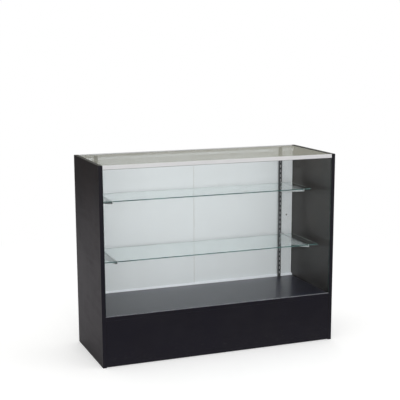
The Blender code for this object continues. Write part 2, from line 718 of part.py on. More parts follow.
def make_standard(side, deck, rear_rail):
    word = "left" if side < 0 else "right"
    x = side * STANDARD_X
    half = STANDARD_WIDTH / 2
    outline = [
        (-half, STANDARD_Y),
        (half, STANDARD_Y),
        (half, STANDARD_BACK_Y),
        (half - STANDARD_GAUGE, STANDARD_BACK_Y),
        (half - STANDARD_GAUGE, STANDARD_Y + STANDARD_GAUGE),
        (STANDARD_GAUGE - half, STANDARD_Y + STANDARD_GAUGE),
        (STANDARD_GAUGE - half, STANDARD_BACK_Y),
        (-half, STANDARD_BACK_Y),
    ]
    name = "standard_" + word
    mesh = outline_mesh(name, outline, STANDARD_HIGH - STANDARD_LOW)
    standard = add_part(name, mesh, BLACK_STEEL, (x, 0, (STANDARD_HIGH + STANDARD_LOW) / 2))
    for number in range(SLOT_COUNT):
        z = slot_height(number)
        slot = add_box_cutter(
            "slot_" + word + str(number),
            (x - SLOT_WIDTH / 2, STANDARD_Y - CUT_OVERRUN, z - SLOT_HEIGHT / 2),
            (x + SLOT_WIDTH / 2, STANDARD_Y + STANDARD_GAUGE + CUT_OVERRUN, z + SLOT_HEIGHT / 2),
        )
        cut(standard, slot)

    # The screw at the top runs through the channel into the front wall of the rear rail
    length = STANDARD_DEPTH + 2 * SEAT_GAP + RAIL_WALL - SEAT_GAP
    profile = pan_screw_profile(
        STANDARD_SCREW_RADIUS, STANDARD_SCREW_HEAD_RADIUS, STANDARD_SCREW_HEAD_HEIGHT, length
    )
    place = (x, STANDARD_Y - SEAT_GAP, LEG_MIDDLE)
    add_turned("standard_screw_" + word, profile, BLACK_STEEL, place, TURNED_FORWARD)
    hole_length = 2 * (length + CUT_OVERRUN)
    hole_radius = STANDARD_SCREW_RADIUS + SEAT_GAP
    hole = add_drill("standard_screw_hole_" + word, hole_radius, hole_length, place, TURNED_REARWARD)
    cut(standard, hole)
    cut(rear_rail, hole)
    make_foot(side, word, x, deck)


# A plate under the standard, with a plug inside its channel and a toe screwed to the deck
def make_foot(side, word, x, deck):
    toe_y = STANDARD_Y - FOOT_TOE
    plate_top = FOOT_LOW + FOOT_PLATE
    plug_y = STANDARD_Y + STANDARD_GAUGE + SEAT_GAP
    plug_top = plate_top + FOOT_PLUG_HEIGHT
    outline = [
        (toe_y, FOOT_LOW),
        (STANDARD_BACK_Y, FOOT_LOW),
        (STANDARD_BACK_Y, plug_top),
        (plug_y, plug_top),
        (plug_y, plate_top),
        (toe_y, plate_top),
    ]
    name = "standard_foot_" + word
    foot = add_part(name, outline_mesh(name, outline, FOOT_WIDTH), BLACK_PLASTIC, (x, 0, 0), ALONG_X)
    plug_half = STANDARD_WIDTH / 2 - STANDARD_GAUGE - SEAT_GAP
    for end in (-1, 1):
        near = x + end * plug_half
        far = x + end * (FOOT_WIDTH + CUT_OVERRUN)
        trim = add_box_cutter(
            name + ("_trim_a" if end < 0 else "_trim_b"),
            (min(near, far), plug_y - CUT_OVERRUN, plate_top),
            (max(near, far), STANDARD_BACK_Y + CUT_OVERRUN, plug_top + CUT_OVERRUN),
        )
        cut(foot, trim)

    profile = pan_screw_profile(
        STANDARD_SCREW_RADIUS, STANDARD_SCREW_HEAD_RADIUS, STANDARD_SCREW_HEAD_HEIGHT, FOOT_SCREW_LENGTH
    )
    place = (x, STANDARD_Y - FOOT_TOE / 2, plate_top + SEAT_GAP)
    add_turned("foot_screw_" + word, profile, BLACK_STEEL, place, ALONG_Z)
    hole_radius = STANDARD_SCREW_RADIUS + SEAT_GAP
    hole_length = 2 * (FOOT_SCREW_LENGTH + SEAT_GAP)
    hole = add_drill(name + "_hole", hole_radius, hole_length, place, ALONG_Z)
    cut(foot, hole)
    cut(deck, hole)


# Shelves and their brackets
def level_of(share):
    slot = round(share * (SLOT_COUNT - 1))
    return slot_height(slot) + BRACKET_OVER_SLOT


def bracket_outline(rest, glass_front, glass_rear, heel):
    rear = STANDARD_Y - SEAT_GAP
    stop = glass_rear + SEAT_GAP
    lip = glass_front - SEAT_GAP
    tip = lip - BRACKET_LIP_THICK
    notch = rear + SEAT_GAP + STANDARD_GAUGE + SEAT_GAP
    hook = notch + HOOK_THICK
    slots = [rest - BRACKET_OVER_SLOT - SLOT_PITCH, rest - BRACKET_OVER_SLOT]
    outline = [(tip, rest - BRACKET_TIP_DROP), (rear, slots[0] + HOOK_LOW - heel)]
    for slot in slots:
        neck = slot + HOOK_LOW
        outline += [
            (rear, neck),
            (notch, neck),
            (notch, neck - HOOK_DROP),
            (hook, neck - HOOK_DROP),
            (hook, neck + HOOK_NECK),
            (rear, neck + HOOK_NECK),
        ]
    outline += [
        (rear, rest + BRACKET_STOP_RISE),
        (stop, rest + BRACKET_STOP_RISE),
        (stop, rest),
        (lip, rest),
        (lip, rest + BRACKET_LIP_RISE),
        (tip, rest + BRACKET_LIP_RISE),
    ]
    return outline


def make_shelf(level, share, front_gap, shift, heel):
    rest = level_of(share)
    glass_front = FRONT_GLASS_BACK_Y + front_gap
    glass_rear = STANDARD_Y - SHELF_REAR_GAP
    for side in (-1, 1):
        word = level + ("_left" if side < 0 else "_right")
        x = side * STANDARD_X
        outline = bracket_outline(rest, glass_front, glass_rear, heel)
        name = "bracket_" + word
        mesh = outline_mesh(name, outline, BRACKET_THICK)
        add_part(name, mesh, BRIGHT_STEEL, (x, 0, 0), ALONG_X)

        # The cushion strip straddles the top of the bracket from lip to stop
        inside = BRACKET_THICK / 2 + SEAT_GAP
        outside = inside + CUSHION_THICK
        seat = rest + SEAT_GAP
        saddle = [
            (-outside, seat - CUSHION_SKIRT),
            (-inside, seat - CUSHION_SKIRT),
            (-inside, seat),
            (inside, seat),
            (inside, seat - CUSHION_SKIRT),
            (outside, seat - CUSHION_SKIRT),
            (outside, seat + CUSHION_THICK),
            (-outside, seat + CUSHION_THICK),
        ]
        name = "cushion_" + word
        strip = glass_rear - glass_front - 2 * SEAT_GAP
        mesh = outline_mesh(name, saddle, strip)
        add_part(name, mesh, CLEAR_VINYL, (x, (glass_front + glass_rear) / 2, 0), ALONG_Y)

    glass_low = rest + SEAT_GAP + CUSHION_THICK + SEAT_GAP
    half = INNER_X - SHELF_SIDE_GAP
    low = (-half - shift, glass_front, glass_low)
    high = (half - shift, glass_rear, glass_low + SHELF_GLASS_THICK)
    glass = add_box("glass_shelf_" + level, low, high, CLEAR_GLASS, GLASS_CHAMFER)
    middle, _ = middle_and_size(low, high)
    carry(glass, add_carrier("shelf_lift_" + level, middle))


def shade_round_pieces():
    for part in PARTS.objects:
        if part.type == "MESH" and "turn" in part.modifiers:
            part.modifiers["turn"].use_smooth_shade = True
            part.data.set_sharp_from_angle(angle=SMOOTH_BELOW)


def main():
    panels = {-1: make_end_panel(-1, "end_panel_left"), 1: make_end_panel(1, "end_panel_right")}
    deck = make_deck()
    kick = make_kick()
    rear_base = make_rear_base()
    make_centre_support()
    make_cam_joints(panels, deck, kick, rear_base)
    front_rail = make_front_rail()
    rear_rail = make_rear_rail()
    make_rail_screws(panels, front_rail, rear_rail)
    make_front_glass()
    make_top_glass()
    make_tracks()
    make_door(-1, LEFT_DOOR_Y)
    make_door(1, RIGHT_DOOR_Y)
    for side in (-1, 1):
        make_standard(side, deck, rear_rail)
    make_shelf("upper", UPPER_LEVEL_SHARE, UPPER_SHELF_FRONT_GAP, UPPER_SHELF_SHIFT, UPPER_BRACKET_HEEL)
    make_shelf("lower", LOWER_LEVEL_SHARE, LOWER_SHELF_FRONT_GAP, LOWER_SHELF_SHIFT, LOWER_BRACKET_HEEL)
    shade_round_pieces()


main()
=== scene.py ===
# Looks for the full view showcase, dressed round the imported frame.
# Metres, Z up, the front towards -Y, the floor at zero. Every finished piece sits at the origin, unturned,
# so that all materials read the same object coordinates.
import json
import math

import bmesh
import bpy
from mathutils import Matrix, Vector


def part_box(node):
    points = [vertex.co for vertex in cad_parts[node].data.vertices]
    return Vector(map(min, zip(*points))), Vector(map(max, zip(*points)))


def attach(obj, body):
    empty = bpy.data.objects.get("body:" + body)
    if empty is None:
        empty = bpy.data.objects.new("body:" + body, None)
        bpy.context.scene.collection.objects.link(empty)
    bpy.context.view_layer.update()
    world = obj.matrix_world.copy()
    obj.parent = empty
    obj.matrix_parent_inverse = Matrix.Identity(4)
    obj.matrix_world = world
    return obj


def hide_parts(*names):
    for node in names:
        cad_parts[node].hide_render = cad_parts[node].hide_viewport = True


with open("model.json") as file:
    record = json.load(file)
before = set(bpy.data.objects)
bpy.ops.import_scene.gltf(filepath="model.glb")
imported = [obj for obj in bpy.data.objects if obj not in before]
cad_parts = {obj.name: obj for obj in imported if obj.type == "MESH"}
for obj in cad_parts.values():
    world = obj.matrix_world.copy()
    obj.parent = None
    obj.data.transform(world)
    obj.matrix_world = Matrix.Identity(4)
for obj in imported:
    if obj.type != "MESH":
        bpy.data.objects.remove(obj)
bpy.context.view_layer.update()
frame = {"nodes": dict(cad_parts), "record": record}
bodies = frame["record"]["behaviour"]["bodies"]
bodyOf = {node: body for body, nodes in bodies.items() for node in nodes}
print("frame loaded,", len(bodyOf), "nodes")

scene = bpy.context.scene
scene.view_settings.view_transform = "Standard"


# Node helpers


def addNode(tree, kind, inputs=None, **settings):
    node = tree.nodes.new(kind)
    for key, value in settings.items():
        setattr(node, key, value)
    for key, value in (inputs or {}).items():
        if isinstance(value, bpy.types.NodeSocket):
            tree.links.new(value, node.inputs[key])
        else:
            node.inputs[key].default_value = value
    return node


def calc(tree, operation, first, second=0.0, third=0.0):
    node = addNode(tree, "ShaderNodeMath", {0: first, 1: second}, operation=operation)
    if operation in ("MULTIPLY_ADD", "COMPARE"):
        node.inputs[2].default_value = third
    return node.outputs[0]


def times(tree, first, second):
    return calc(tree, "MULTIPLY", first, second)


def larger(tree, first, second):
    return calc(tree, "MAXIMUM", first, second)


def plus(tree, first, second):
    return calc(tree, "ADD", first, second)


def distanceTo(tree, first, second):
    return addNode(tree, "ShaderNodeVectorMath", {0: first, 1: second}, operation="DISTANCE").outputs["Value"]


def partsOf(tree, vector):
    return addNode(tree, "ShaderNodeSeparateXYZ", {0: vector}).outputs


def facingOf(tree):
    return partsOf(tree, addNode(tree, "ShaderNodeNewGeometry").outputs["Normal"])


def rescale(tree, value, low, high, newLow=0.0, newHigh=1.0):
    inputs = {"Value": value, "From Min": low, "From Max": high, "To Min": newLow, "To Max": newHigh}
    return addNode(tree, "ShaderNodeMapRange", inputs).outputs["Result"]


def blend(tree, share, first, second):
    inputs = {0: share, 6: first, 7: second}
    return addNode(tree, "ShaderNodeMix", inputs, data_type="RGBA").outputs[2]


def stretched(tree, vector, scale):
    inputs = {"Vector": vector, "Scale": scale}
    return addNode(tree, "ShaderNodeMapping", inputs).outputs["Vector"]


def noise(tree, vector, scale, detail=2.0, roughness=0.5):
    inputs = {"Vector": vector, "Scale": scale, "Detail": detail, "Roughness": roughness}
    return addNode(tree, "ShaderNodeTexNoise", inputs).outputs["Fac"]


# Shared effects, as node groups, with the ranges of noise that each of them reads
effects = {
    "dustFacing": (0.35, 0.95),
    "dustPatches": (0.35, 0.75, 0.25, 1),
    "dustPatchShare": 0.6,
    "dustSpecks": (0.62, 0.8),
    "wearBroken": (0.4, 0.7),
    "scratchLines": ((0.35, 0.006), (-1.05, 0.008)),
    "scratchWidth": (0.76, 0.80),
    "scratchPlaceScale": 7,
    "scratchPlaces": (0.5, 0.62),
    "facingShare": 0.7,
    "pores": (0.5, 0.72),
    "streakShares": (0.65, 0.35),
    "streakBroadScale": 0.13,
    "streakRange": (0.3, 0.7),
    "smearClouds": (0.38, 0.68),
    "smearStretch": (1.0, 0.4, 2.2),
    "smearFineScale": 2.7,
    "smearStrokes": (0.3, 0.7),
}


def newGroup(name, inputs, *outputs):
    group = bpy.data.node_groups.new(name, "ShaderNodeTree")
    for label, value in {"Vector": None, **inputs}.items():
        kind = "NodeSocketFloat" if isinstance(value, float) else "NodeSocketVector"
        socket = group.interface.new_socket(name=label, in_out="INPUT", socket_type=kind)
        if value is not None:
            socket.default_value = value
    for label in outputs:
        group.interface.new_socket(name=label, in_out="OUTPUT", socket_type="NodeSocketFloat")
    return group, group.nodes.new("NodeGroupInput").outputs, group.nodes.new("NodeGroupOutput").inputs


def makeDustGroup():
    # Dust that settles on what faces up, thicker in soft patches, with a few specks
    inputs = {"Amount": 0.2, "Patch Scale": 9.0, "Speck Scale": 700.0}
    group, ins, outs = newGroup("settledDust", inputs, "Dust")
    level = rescale(group, facingOf(group)["Z"], *effects["dustFacing"])
    patches = noise(group, ins["Vector"], ins["Patch Scale"], 4, 0.6)
    patches = rescale(group, patches, *effects["dustPatches"])
    specks = noise(group, ins["Vector"], ins["Speck Scale"], 1)
    specks = rescale(group, specks, *effects["dustSpecks"])
    grains = larger(group, times(group, patches, effects["dustPatchShare"]), specks)
    thick = times(group, times(group, level, grains), ins["Amount"])
    group.links.new(thick, outs["Dust"])
    return group


def makeEdgeGroup():
    # Rubbed edges: the bevelled faces carry a mark, broken up so that the wear comes and goes
    group, ins, outs = newGroup("rubbedEdges", {"Amount": 0.5, "Scale": 40.0}, "Wear")
    mark = addNode(group, "ShaderNodeAttribute", attribute_name="rubbedEdge").outputs["Fac"]
    broken = rescale(group, noise(group, ins["Vector"], ins["Scale"], 5, 0.65), *effects["wearBroken"])
    wear = times(group, times(group, mark, broken), ins["Amount"])
    group.links.new(wear, outs["Wear"])
    return group


def makeScratchGroup():
    # Hairline scratches: straight thin lines in the plane of each face, kept to scattered places
    group, ins, outs = newGroup("hairlines", {"Amount": 0.5, "Scale": 12.0}, "Scratch")
    faces = facingOf(group)
    parts = partsOf(group, ins["Vector"])
    sideways = calc(group, "GREATER_THAN", calc(group, "ABSOLUTE", faces["X"]), effects["facingShare"])
    level = calc(group, "GREATER_THAN", calc(group, "ABSOLUTE", faces["Z"]), effects["facingShare"])
    across = rescale(group, sideways, 0, 1, parts["X"], parts["Y"])
    upward = rescale(group, level, 0, 1, parts["Z"], parts["Y"])
    flat = addNode(group, "ShaderNodeCombineXYZ", {0: across, 1: upward}).outputs[0]
    both = 0.0
    for angle, thin in effects["scratchLines"]:
        inputs = {"Vector": flat, "Rotation": (0, 0, angle), "Scale": (1, thin, 1)}
        turned = addNode(group, "ShaderNodeMapping", inputs, vector_type="TEXTURE").outputs["Vector"]
        fine = rescale(group, noise(group, turned, ins["Scale"], 0), *effects["scratchWidth"])
        both = larger(group, both, fine)
    places = noise(group, ins["Vector"], effects["scratchPlaceScale"], 2)
    places = rescale(group, places, *effects["scratchPlaces"])
    scratch = times(group, times(group, both, places), ins["Amount"])
    group.links.new(scratch, outs["Scratch"])
    return group


def makeGrainGroup():
    # Fine moulded or pressed texture: a pebble and a long pore, mixed by share
    inputs = {"Pebble Scale": 900.0, "Pore Stretch": (1, 1, 0.06), "Pore Scale": 900.0, "Pore Share": 0.4}
    group, ins, outs = newGroup("pressedGrain", inputs, "Height", "Pores")
    pebble = noise(group, ins["Vector"], ins["Pebble Scale"], 2)
    along = stretched(group, ins["Vector"], ins["Pore Stretch"])
    pores = rescale(group, noise(group, along, ins["Pore Scale"], 3, 0.6), *effects["pores"])
    height = addNode(group, "ShaderNodeMix", {0: ins["Pore Share"], 2: pebble}, data_type="FLOAT")
    group.links.new(calc(group, "SUBTRACT", 1.0, pores), height.inputs[3])
    group.links.new(height.outputs[0], outs["Height"])
    group.links.new(pores, outs["Pores"])
    return group


def makeStreakGroup():
    # Drawn or brushed streaks along one direction
    group, ins, outs = newGroup("drawnStreaks", {"Stretch": (0.02, 1, 1), "Scale": 900.0}, "Streak")
    along = stretched(group, ins["Vector"], ins["Stretch"])
    fine = noise(group, along, ins["Scale"], 4, 0.7)
    broad = noise(group, along, times(group, ins["Scale"], effects["streakBroadScale"]), 2)
    fineShare, broadShare = effects["streakShares"]
    both = plus(group, times(group, fine, fineShare), times(group, broad, broadShare))
    group.links.new(rescale(group, both, *effects["streakRange"]), outs["Streak"])
    return group


def makeSmudgeGroup():
    # Cloudy smears left by cloths and hands
    group, ins, outs = newGroup("wipedSmears", {"Scale": 6.0, "Amount": 1.0}, "Smear")
    cloud = noise(group, ins["Vector"], ins["Scale"], 5, 0.6)
    warped = stretched(group, ins["Vector"], effects["smearStretch"])
    wiped = noise(group, warped, times(group, ins["Scale"], effects["smearFineScale"]), 3, 0.6)
    clouds = rescale(group, cloud, *effects["smearClouds"])
    both = times(group, clouds, rescale(group, wiped, *effects["smearStrokes"]))
    group.links.new(times(group, both, ins["Amount"]), outs["Smear"])
    return group


settledDust = makeDustGroup()
rubbedEdges = makeEdgeGroup()
hairlines = makeScratchGroup()
pressedGrain = makeGrainGroup()
drawnStreaks = makeStreakGroup()
wipedSmears = makeSmudgeGroup()


# One output of a shared effect, read at a place
def useGroup(tree, group, place, output=0, **inputs):
    inputs = {key.replace("_", " "): value for key, value in inputs.items()}
    return addNode(tree, "ShaderNodeGroup", {"Vector": place, **inputs}, node_tree=group).outputs[output]


materials = {}


# A new material, kept under its name, with its tree, shader and object coordinates
def newMaterial(name, **sockets):
    material = materials[name] = bpy.data.materials.new(name)
    material.use_nodes = True
    tree = material.node_tree
    shader = tree.nodes["Principled BSDF"]
    for key, value in sockets.items():
        shader.inputs[key.replace("_", " ")].default_value = value
    place = tree.nodes.new("ShaderNodeTexCoord").outputs["Object"]
    return tree, shader, place


def paint(tree, shader, tone, rough):
    tree.links.new(tone, shader.inputs["Base Color"])
    tree.links.new(rough, shader.inputs["Roughness"])


def relief(tree, shader, height, distance, strength=1.0, under=None):
    inputs = {"Height": height, "Distance": distance, "Strength": strength}
    if under is not None:
        inputs["Normal"] = under
    bump = addNode(tree, "ShaderNodeBump", inputs)
    tree.links.new(bump.outputs["Normal"], shader.inputs["Normal"])


# Black melamine on the boards: pressed grain with streaks, mottled brown patches that grow stronger higher
# up, partly a mottled tone and partly painted light from above, rubbed edges, scuffs near the floor and the
# seam of the edge band
blackBoard = {
    "face": (0.0072, 0.0062, 0.0078, 1),
    "pore": (0.0036, 0.0031, 0.0036, 1),
    "brown": (0.0165, 0.0074, 0.0054, 1),
    "brownShare": 0.5,
    "brownTop": 0.85,
    "topFrom": 0.45,
    "topTo": 0.95,
    "patchStretch": (1, 1, 0.6),
    "patchScale": 5,
    "patchRange": (0.42, 0.66),
    "patchLow": 0.35,
    "dullFrom": (0.6, 0.2),
    "dullRise": 0.0,
    "streak": (0.0110, 0.0095, 0.0105, 1),
    "streakShare": 0.5,
    "streakScale": 150.0,
    "streakStretch": 0.012,
    "rubbed": (0.040, 0.037, 0.036, 1),
    "wear": 0.8,
    "wearScale": 34.0,
    "scuff": (0.060, 0.057, 0.055, 1),
    "scuffStretch": (2.2, 2.2, 14.0),
    "scuffScale": 16,
    "scuffRange": (0.56, 0.72),
    "scuffShare": 0.55,
    "dust": (0.26, 0.25, 0.24, 1),
    "roughening": 0.3,
    "roughness": (0.33, 0.42),
    "specular": 0.3,
    "poreShare": 0.45,
    "poreTint": 0.5,
    "grainDepth": 0.00003,
    "grainStrength": 0.8,
    "smearScale": 5.0,
    "smearTint": 0.06,
    "seamY": 0.2280,
    "seamWidth": 0.00012,
    "seamTint": 0.8,
    "scuffHeight": 0.13,
    "scratch": 0.12,
    "scratchScale": 11.0,
    "dustAmount": 0.035,
}


# The kick is bluer than the ends; the deck, cleaned daily, reflects most, its blue a painted reflection of
# the doors;
# the right end is painted lighter and browner than the other boards, as painted light inside the case, most
# at the top
kickLook = {
    "face": (0.0087, 0.0079, 0.0128, 1),
    "pore": (0.0040, 0.0038, 0.0062, 1),
    "brown": (0.0088, 0.0080, 0.0094, 1),
    "streak": (0.0100, 0.0095, 0.0130, 1),
    "specular": 0.2,
}
# The deck's blue, in its black and in its streaks, is a painted reflection tint of the white doors
deckLookReflectionTint = {
    "face": (0.0085, 0.0082, 0.0230, 1),
    "pore": (0.0060, 0.0058, 0.0120, 1),
    "brown": (0.0090, 0.0084, 0.0210, 1),
    "streak": (0.0210, 0.0205, 0.0400, 1),
    "streakShare": 0.6,
    "streakScale": 42.0,
    "streakStretch": 0.05,
    "roughness": (0.33, 0.35),
    "grainDepth": 0.00001,
    "specular": 0.97,
    "scratch": 0.05,
    "dustAmount": 0.015,
}
# The right end: a lighter, browner copy of the black board, painted light inside the case, strongest at the
# top
rightPaintedLightLook = {
    "face": (0.0125, 0.0090, 0.0070, 1),
    "brown": (0.0380, 0.0270, 0.0165, 1),
    "brownTop": 1.0,
    "topFrom": 0.3,
    "brownShare": 0.2,
    "specular": 0.56,
    "dullRise": 0.1,
}


def makeBoardMaterial(name, stretch, **changes):
    values = {**blackBoard, **changes}
    tree, shader, place = newMaterial(name, Specular_IOR_Level=values["specular"])
    grainInputs = {"Pore_Stretch": stretch, "Pore_Share": values["poreShare"]}
    height = useGroup(tree, pressedGrain, place, "Height", **grainInputs)
    pores = useGroup(tree, pressedGrain, place, "Pores", **grainInputs)
    smears = useGroup(tree, wipedSmears, place, Scale=values["smearScale"])
    lines = useGroup(tree, hairlines, place, Amount=values["scratch"], Scale=values["scratchScale"])
    drawn = tuple(1 if share == 1 else values["streakStretch"] for share in stretch)
    streaks = useGroup(tree, drawnStreaks, place, Stretch=drawn, Scale=values["streakScale"])
    patches = noise(tree, stretched(tree, place, values["patchStretch"]), values["patchScale"], 4, 0.6)
    patches = rescale(tree, patches, *values["patchRange"])
    wear = useGroup(tree, rubbedEdges, place, Amount=values["wear"], Scale=values["wearScale"])
    dust = useGroup(tree, settledDust, place, Amount=values["dustAmount"])

    parts = partsOf(tree, place)
    near = rescale(tree, parts["Z"], values["scuffHeight"], 0.0)
    marks = noise(tree, stretched(tree, place, values["scuffStretch"]), values["scuffScale"], 6, 0.7)
    scuffs = times(tree, rescale(tree, marks, *values["scuffRange"]), near)
    scuffs = times(tree, scuffs, values["scuffShare"])
    across = calc(tree, "ABSOLUTE", parts["Y"])
    seam = calc(tree, "COMPARE", across, values["seamY"], values["seamWidth"])

    # The brown mottle rises towards the top of each board: painted light from above, laid on a mottled tone
    rise = (values["topFrom"], values["topTo"], values["brownShare"], values["brownTop"])
    topLightRise = rescale(tree, parts["Z"], *rise)
    brown = times(tree, rescale(tree, patches, 0, 1, values["patchLow"], 1.0), topLightRise)
    tone = blend(tree, brown, values["face"], values["brown"])
    tone = blend(tree, times(tree, streaks, values["streakShare"]), tone, values["streak"])
    tone = blend(tree, times(tree, pores, values["poreTint"]), tone, values["pore"])
    tone = blend(tree, times(tree, smears, values["smearTint"]), tone, values["rubbed"])
    tone = blend(tree, lines, tone, values["rubbed"])
    tone = blend(tree, scuffs, tone, values["scuff"])
    tone = blend(tree, wear, tone, values["rubbed"])
    tone = blend(tree, times(tree, seam, values["seamTint"]), tone, values["pore"])
    tone = blend(tree, dust, tone, values["dust"])

    rough = rescale(tree, smears, 0, 1, *values["roughness"])
    dull = rescale(tree, parts["Z"], *values["dullFrom"], 0, values["dullRise"])
    rough = plus(tree, rough, dull)
    rough = plus(tree, rough, times(tree, larger(tree, scuffs, dust), values["roughening"]))
    paint(tree, shader, tone, rough)
    relief(tree, shader, height, values["grainDepth"], values["grainStrength"])


# Raw board: pressed chips, for the support that never shows from the front
rawBoard = {
    "chipDark": (0.11, 0.075, 0.045, 1),
    "chipPale": (0.34, 0.25, 0.16, 1),
    "glue": (0.16, 0.115, 0.07, 1),
    "chipScale": 260.0,
    "chipStretch": (0.5, 0.35, 0.9),
    "gapRange": (0.35, 0.7),
    "glueShare": 0.7,
    "strandScale": 600,
    "strandStretch": (1, 0.15, 1),
    "strandRange": (0.3, 0.7),
    "strandShare": 0.35,
    "roughness": (0.68, 0.85),
    "depth": 0.0003,
    "strength": 0.6,
}


def makeRawBoardMaterial():
    values = rawBoard
    tree, shader, place = newMaterial("rawBoard")
    flat = stretched(tree, place, values["chipStretch"])
    chips = addNode(tree, "ShaderNodeTexVoronoi", {"Vector": flat, "Scale": values["chipScale"]})
    shade = addNode(tree, "ShaderNodeSeparateColor", {0: chips.outputs["Color"]}).outputs[0]
    strands = noise(tree, stretched(tree, place, values["strandStretch"]), values["strandScale"], 3)
    tone = blend(tree, shade, values["chipDark"], values["chipPale"])
    gaps = rescale(tree, chips.outputs["Distance"], *values["gapRange"])
    tone = blend(tree, times(tree, gaps, values["glueShare"]), tone, values["glue"])
    tone = blend(tree, times(tree, strands, values["strandShare"]), tone, values["chipDark"])
    paint(tree, shader, tone, rescale(tree, strands, *values["strandRange"], *values["roughness"]))
    relief(tree, shader, plus(tree, shade, strands), values["depth"], values["strength"])


# Float glass: clear faces, ground green edges, faint smears that only show as a soft haze; the rims facing
# the ends and the back get their own tones of painted light and shade
clearGlass = {
    "face": (0.986, 0.993, 0.992, 1),
    "smeared": (0.976, 0.985, 0.983, 1),
    "shade": (0.965, 0.975, 0.975, 1),
    "edgeDeep": (0.008, 0.042, 0.039, 1),
    "edgePale": (0.125, 0.225, 0.215, 1),
    "edgeEnd": (0.014, 0.022, 0.022, 1),
    "edgeRear": (0.60, 0.68, 0.68, 1),
    "ior": 1.5,
    "smearScale": 7.0,
    "smearHaze": (0.2, 1, 0.0, 0.035),
    "edgeSpecular": 0.6,
    "edgeStretch": (0.03, 0.03, 1),
    "edgeCloudScale": 11,
    "edgeClouds": (0.3, 0.7),
    "edgeStreaks": (0, 1, 0.55, 1),
    "endRange": (0.1, 0.6),
    "rearRange": (0.3, 0.8),
    "edgeRoughness": (0.12, 0.3),
    "edgeDepth": 0.00002,
    "edgeStrength": 0.5,
}


# The shelves are looked along, so their green shows more
shelfGlass = {
    "face": (0.930, 0.985, 0.975, 1),
    "smeared": (0.920, 0.977, 0.966, 1),
    "edgeRear": (0.83, 0.90, 0.90, 1),
    "edgeEnd": (0.800, 0.850, 0.790, 1),
}


def makeGlassMaterial(name, **changes):
    values = {**clearGlass, **changes}
    tree, shader, place = newMaterial(name, IOR=values["ior"], Roughness=0.0)
    shader.inputs["Transmission Weight"].default_value = 1.0
    smears = useGroup(tree, wipedSmears, place, Scale=values["smearScale"])
    tint = blend(tree, smears, values["face"], values["smeared"])
    paint(tree, shader, tint, rescale(tree, smears, *values["smearHaze"]))

    # Rays from the lamps, and soft light that has left a surface, pass straight through
    path = tree.nodes.new("ShaderNodeLightPath")
    straight = addNode(tree, "ShaderNodeBsdfTransparent", {"Color": values["shade"]})
    soft = addNode(tree, "ShaderNodeMixShader", {0: path.outputs["Is Diffuse Ray"], 1: shader.outputs[0]})
    tree.links.new(straight.outputs[0], soft.inputs[2])
    both = addNode(tree, "ShaderNodeMixShader", {0: path.outputs["Is Shadow Ray"], 1: soft.outputs[0]})
    tree.links.new(straight.outputs[0], both.inputs[2])
    tree.links.new(both.outputs[0], tree.nodes["Material Output"].inputs["Surface"])


def makeGlassEdgeMaterial(name, **changes):
    values = {**clearGlass, **changes}
    look = {"IOR": values["ior"], "Specular_IOR_Level": values["edgeSpecular"]}
    tree, shader, place = newMaterial(name, **look)
    ground = useGroup(tree, drawnStreaks, place, Stretch=values["edgeStretch"])
    cloud = rescale(tree, noise(tree, place, values["edgeCloudScale"], 3), *values["edgeClouds"])
    share = times(tree, cloud, rescale(tree, ground, *values["edgeStreaks"]))
    faces = facingOf(tree)
    side = calc(tree, "ABSOLUTE", faces["X"])
    tone = blend(tree, share, values["edgeDeep"], values["edgePale"])
    # The end and rear rims are toned by the way they face: painted light and shade on the ground edge
    tone = blend(tree, rescale(tree, side, *values["endRange"]), tone, values["edgeEnd"])
    tone = blend(tree, rescale(tree, faces["Y"], *values["rearRange"]), tone, values["edgeRear"])
    paint(tree, shader, tone, rescale(tree, ground, 0, 1, *values["edgeRoughness"]))
    relief(tree, shader, ground, values["edgeDepth"], values["edgeStrength"])


# Clear vinyl: the channel under the front glass and the strips on the brackets
clearVinyl = {
    "clear": (0.41, 0.415, 0.45, 1),
    "cloudy": (0.28, 0.285, 0.31, 1),
    "cloudScale": 60,
    "cloudRange": (0.35, 0.7),
    "stretch": (0.02, 0.02, 1),
    "roughness": (0.22, 0.4),
    "ior": 1.45,
    "transmission": 0.6,
    "depth": 0.00003,
    "strength": 0.5,
}


def makeClearVinylMaterial():
    values = clearVinyl
    tree, shader, place = newMaterial("clearVinyl", IOR=values["ior"])
    shader.inputs["Transmission Weight"].default_value = values["transmission"]
    drawn = useGroup(tree, drawnStreaks, place, Stretch=values["stretch"])
    cloud = rescale(tree, noise(tree, place, values["cloudScale"], 3), *values["cloudRange"])
    tone = blend(tree, cloud, values["clear"], values["cloudy"])
    paint(tree, shader, tone, rescale(tree, drawn, 0, 1, *values["roughness"]))
    relief(tree, shader, drawn, values["depth"], values["strength"])


# Plain opaque finishes share one recipe: two tones, a texture for height, smears, wear and dust
plainFinish = {
    "metallic": 0.0,
    "specular": 0.5,
    "smear": 0.3,
    "smearScale": 12.0,
    "wear": 0.5,
    "wearScale": 60.0,
    "scratch": 0.3,
    "dust": 0.1,
    "dustTone": (0.45, 0.44, 0.41, 1),
    "dustRoughness": 0.4,
    "strength": 0.6,
}


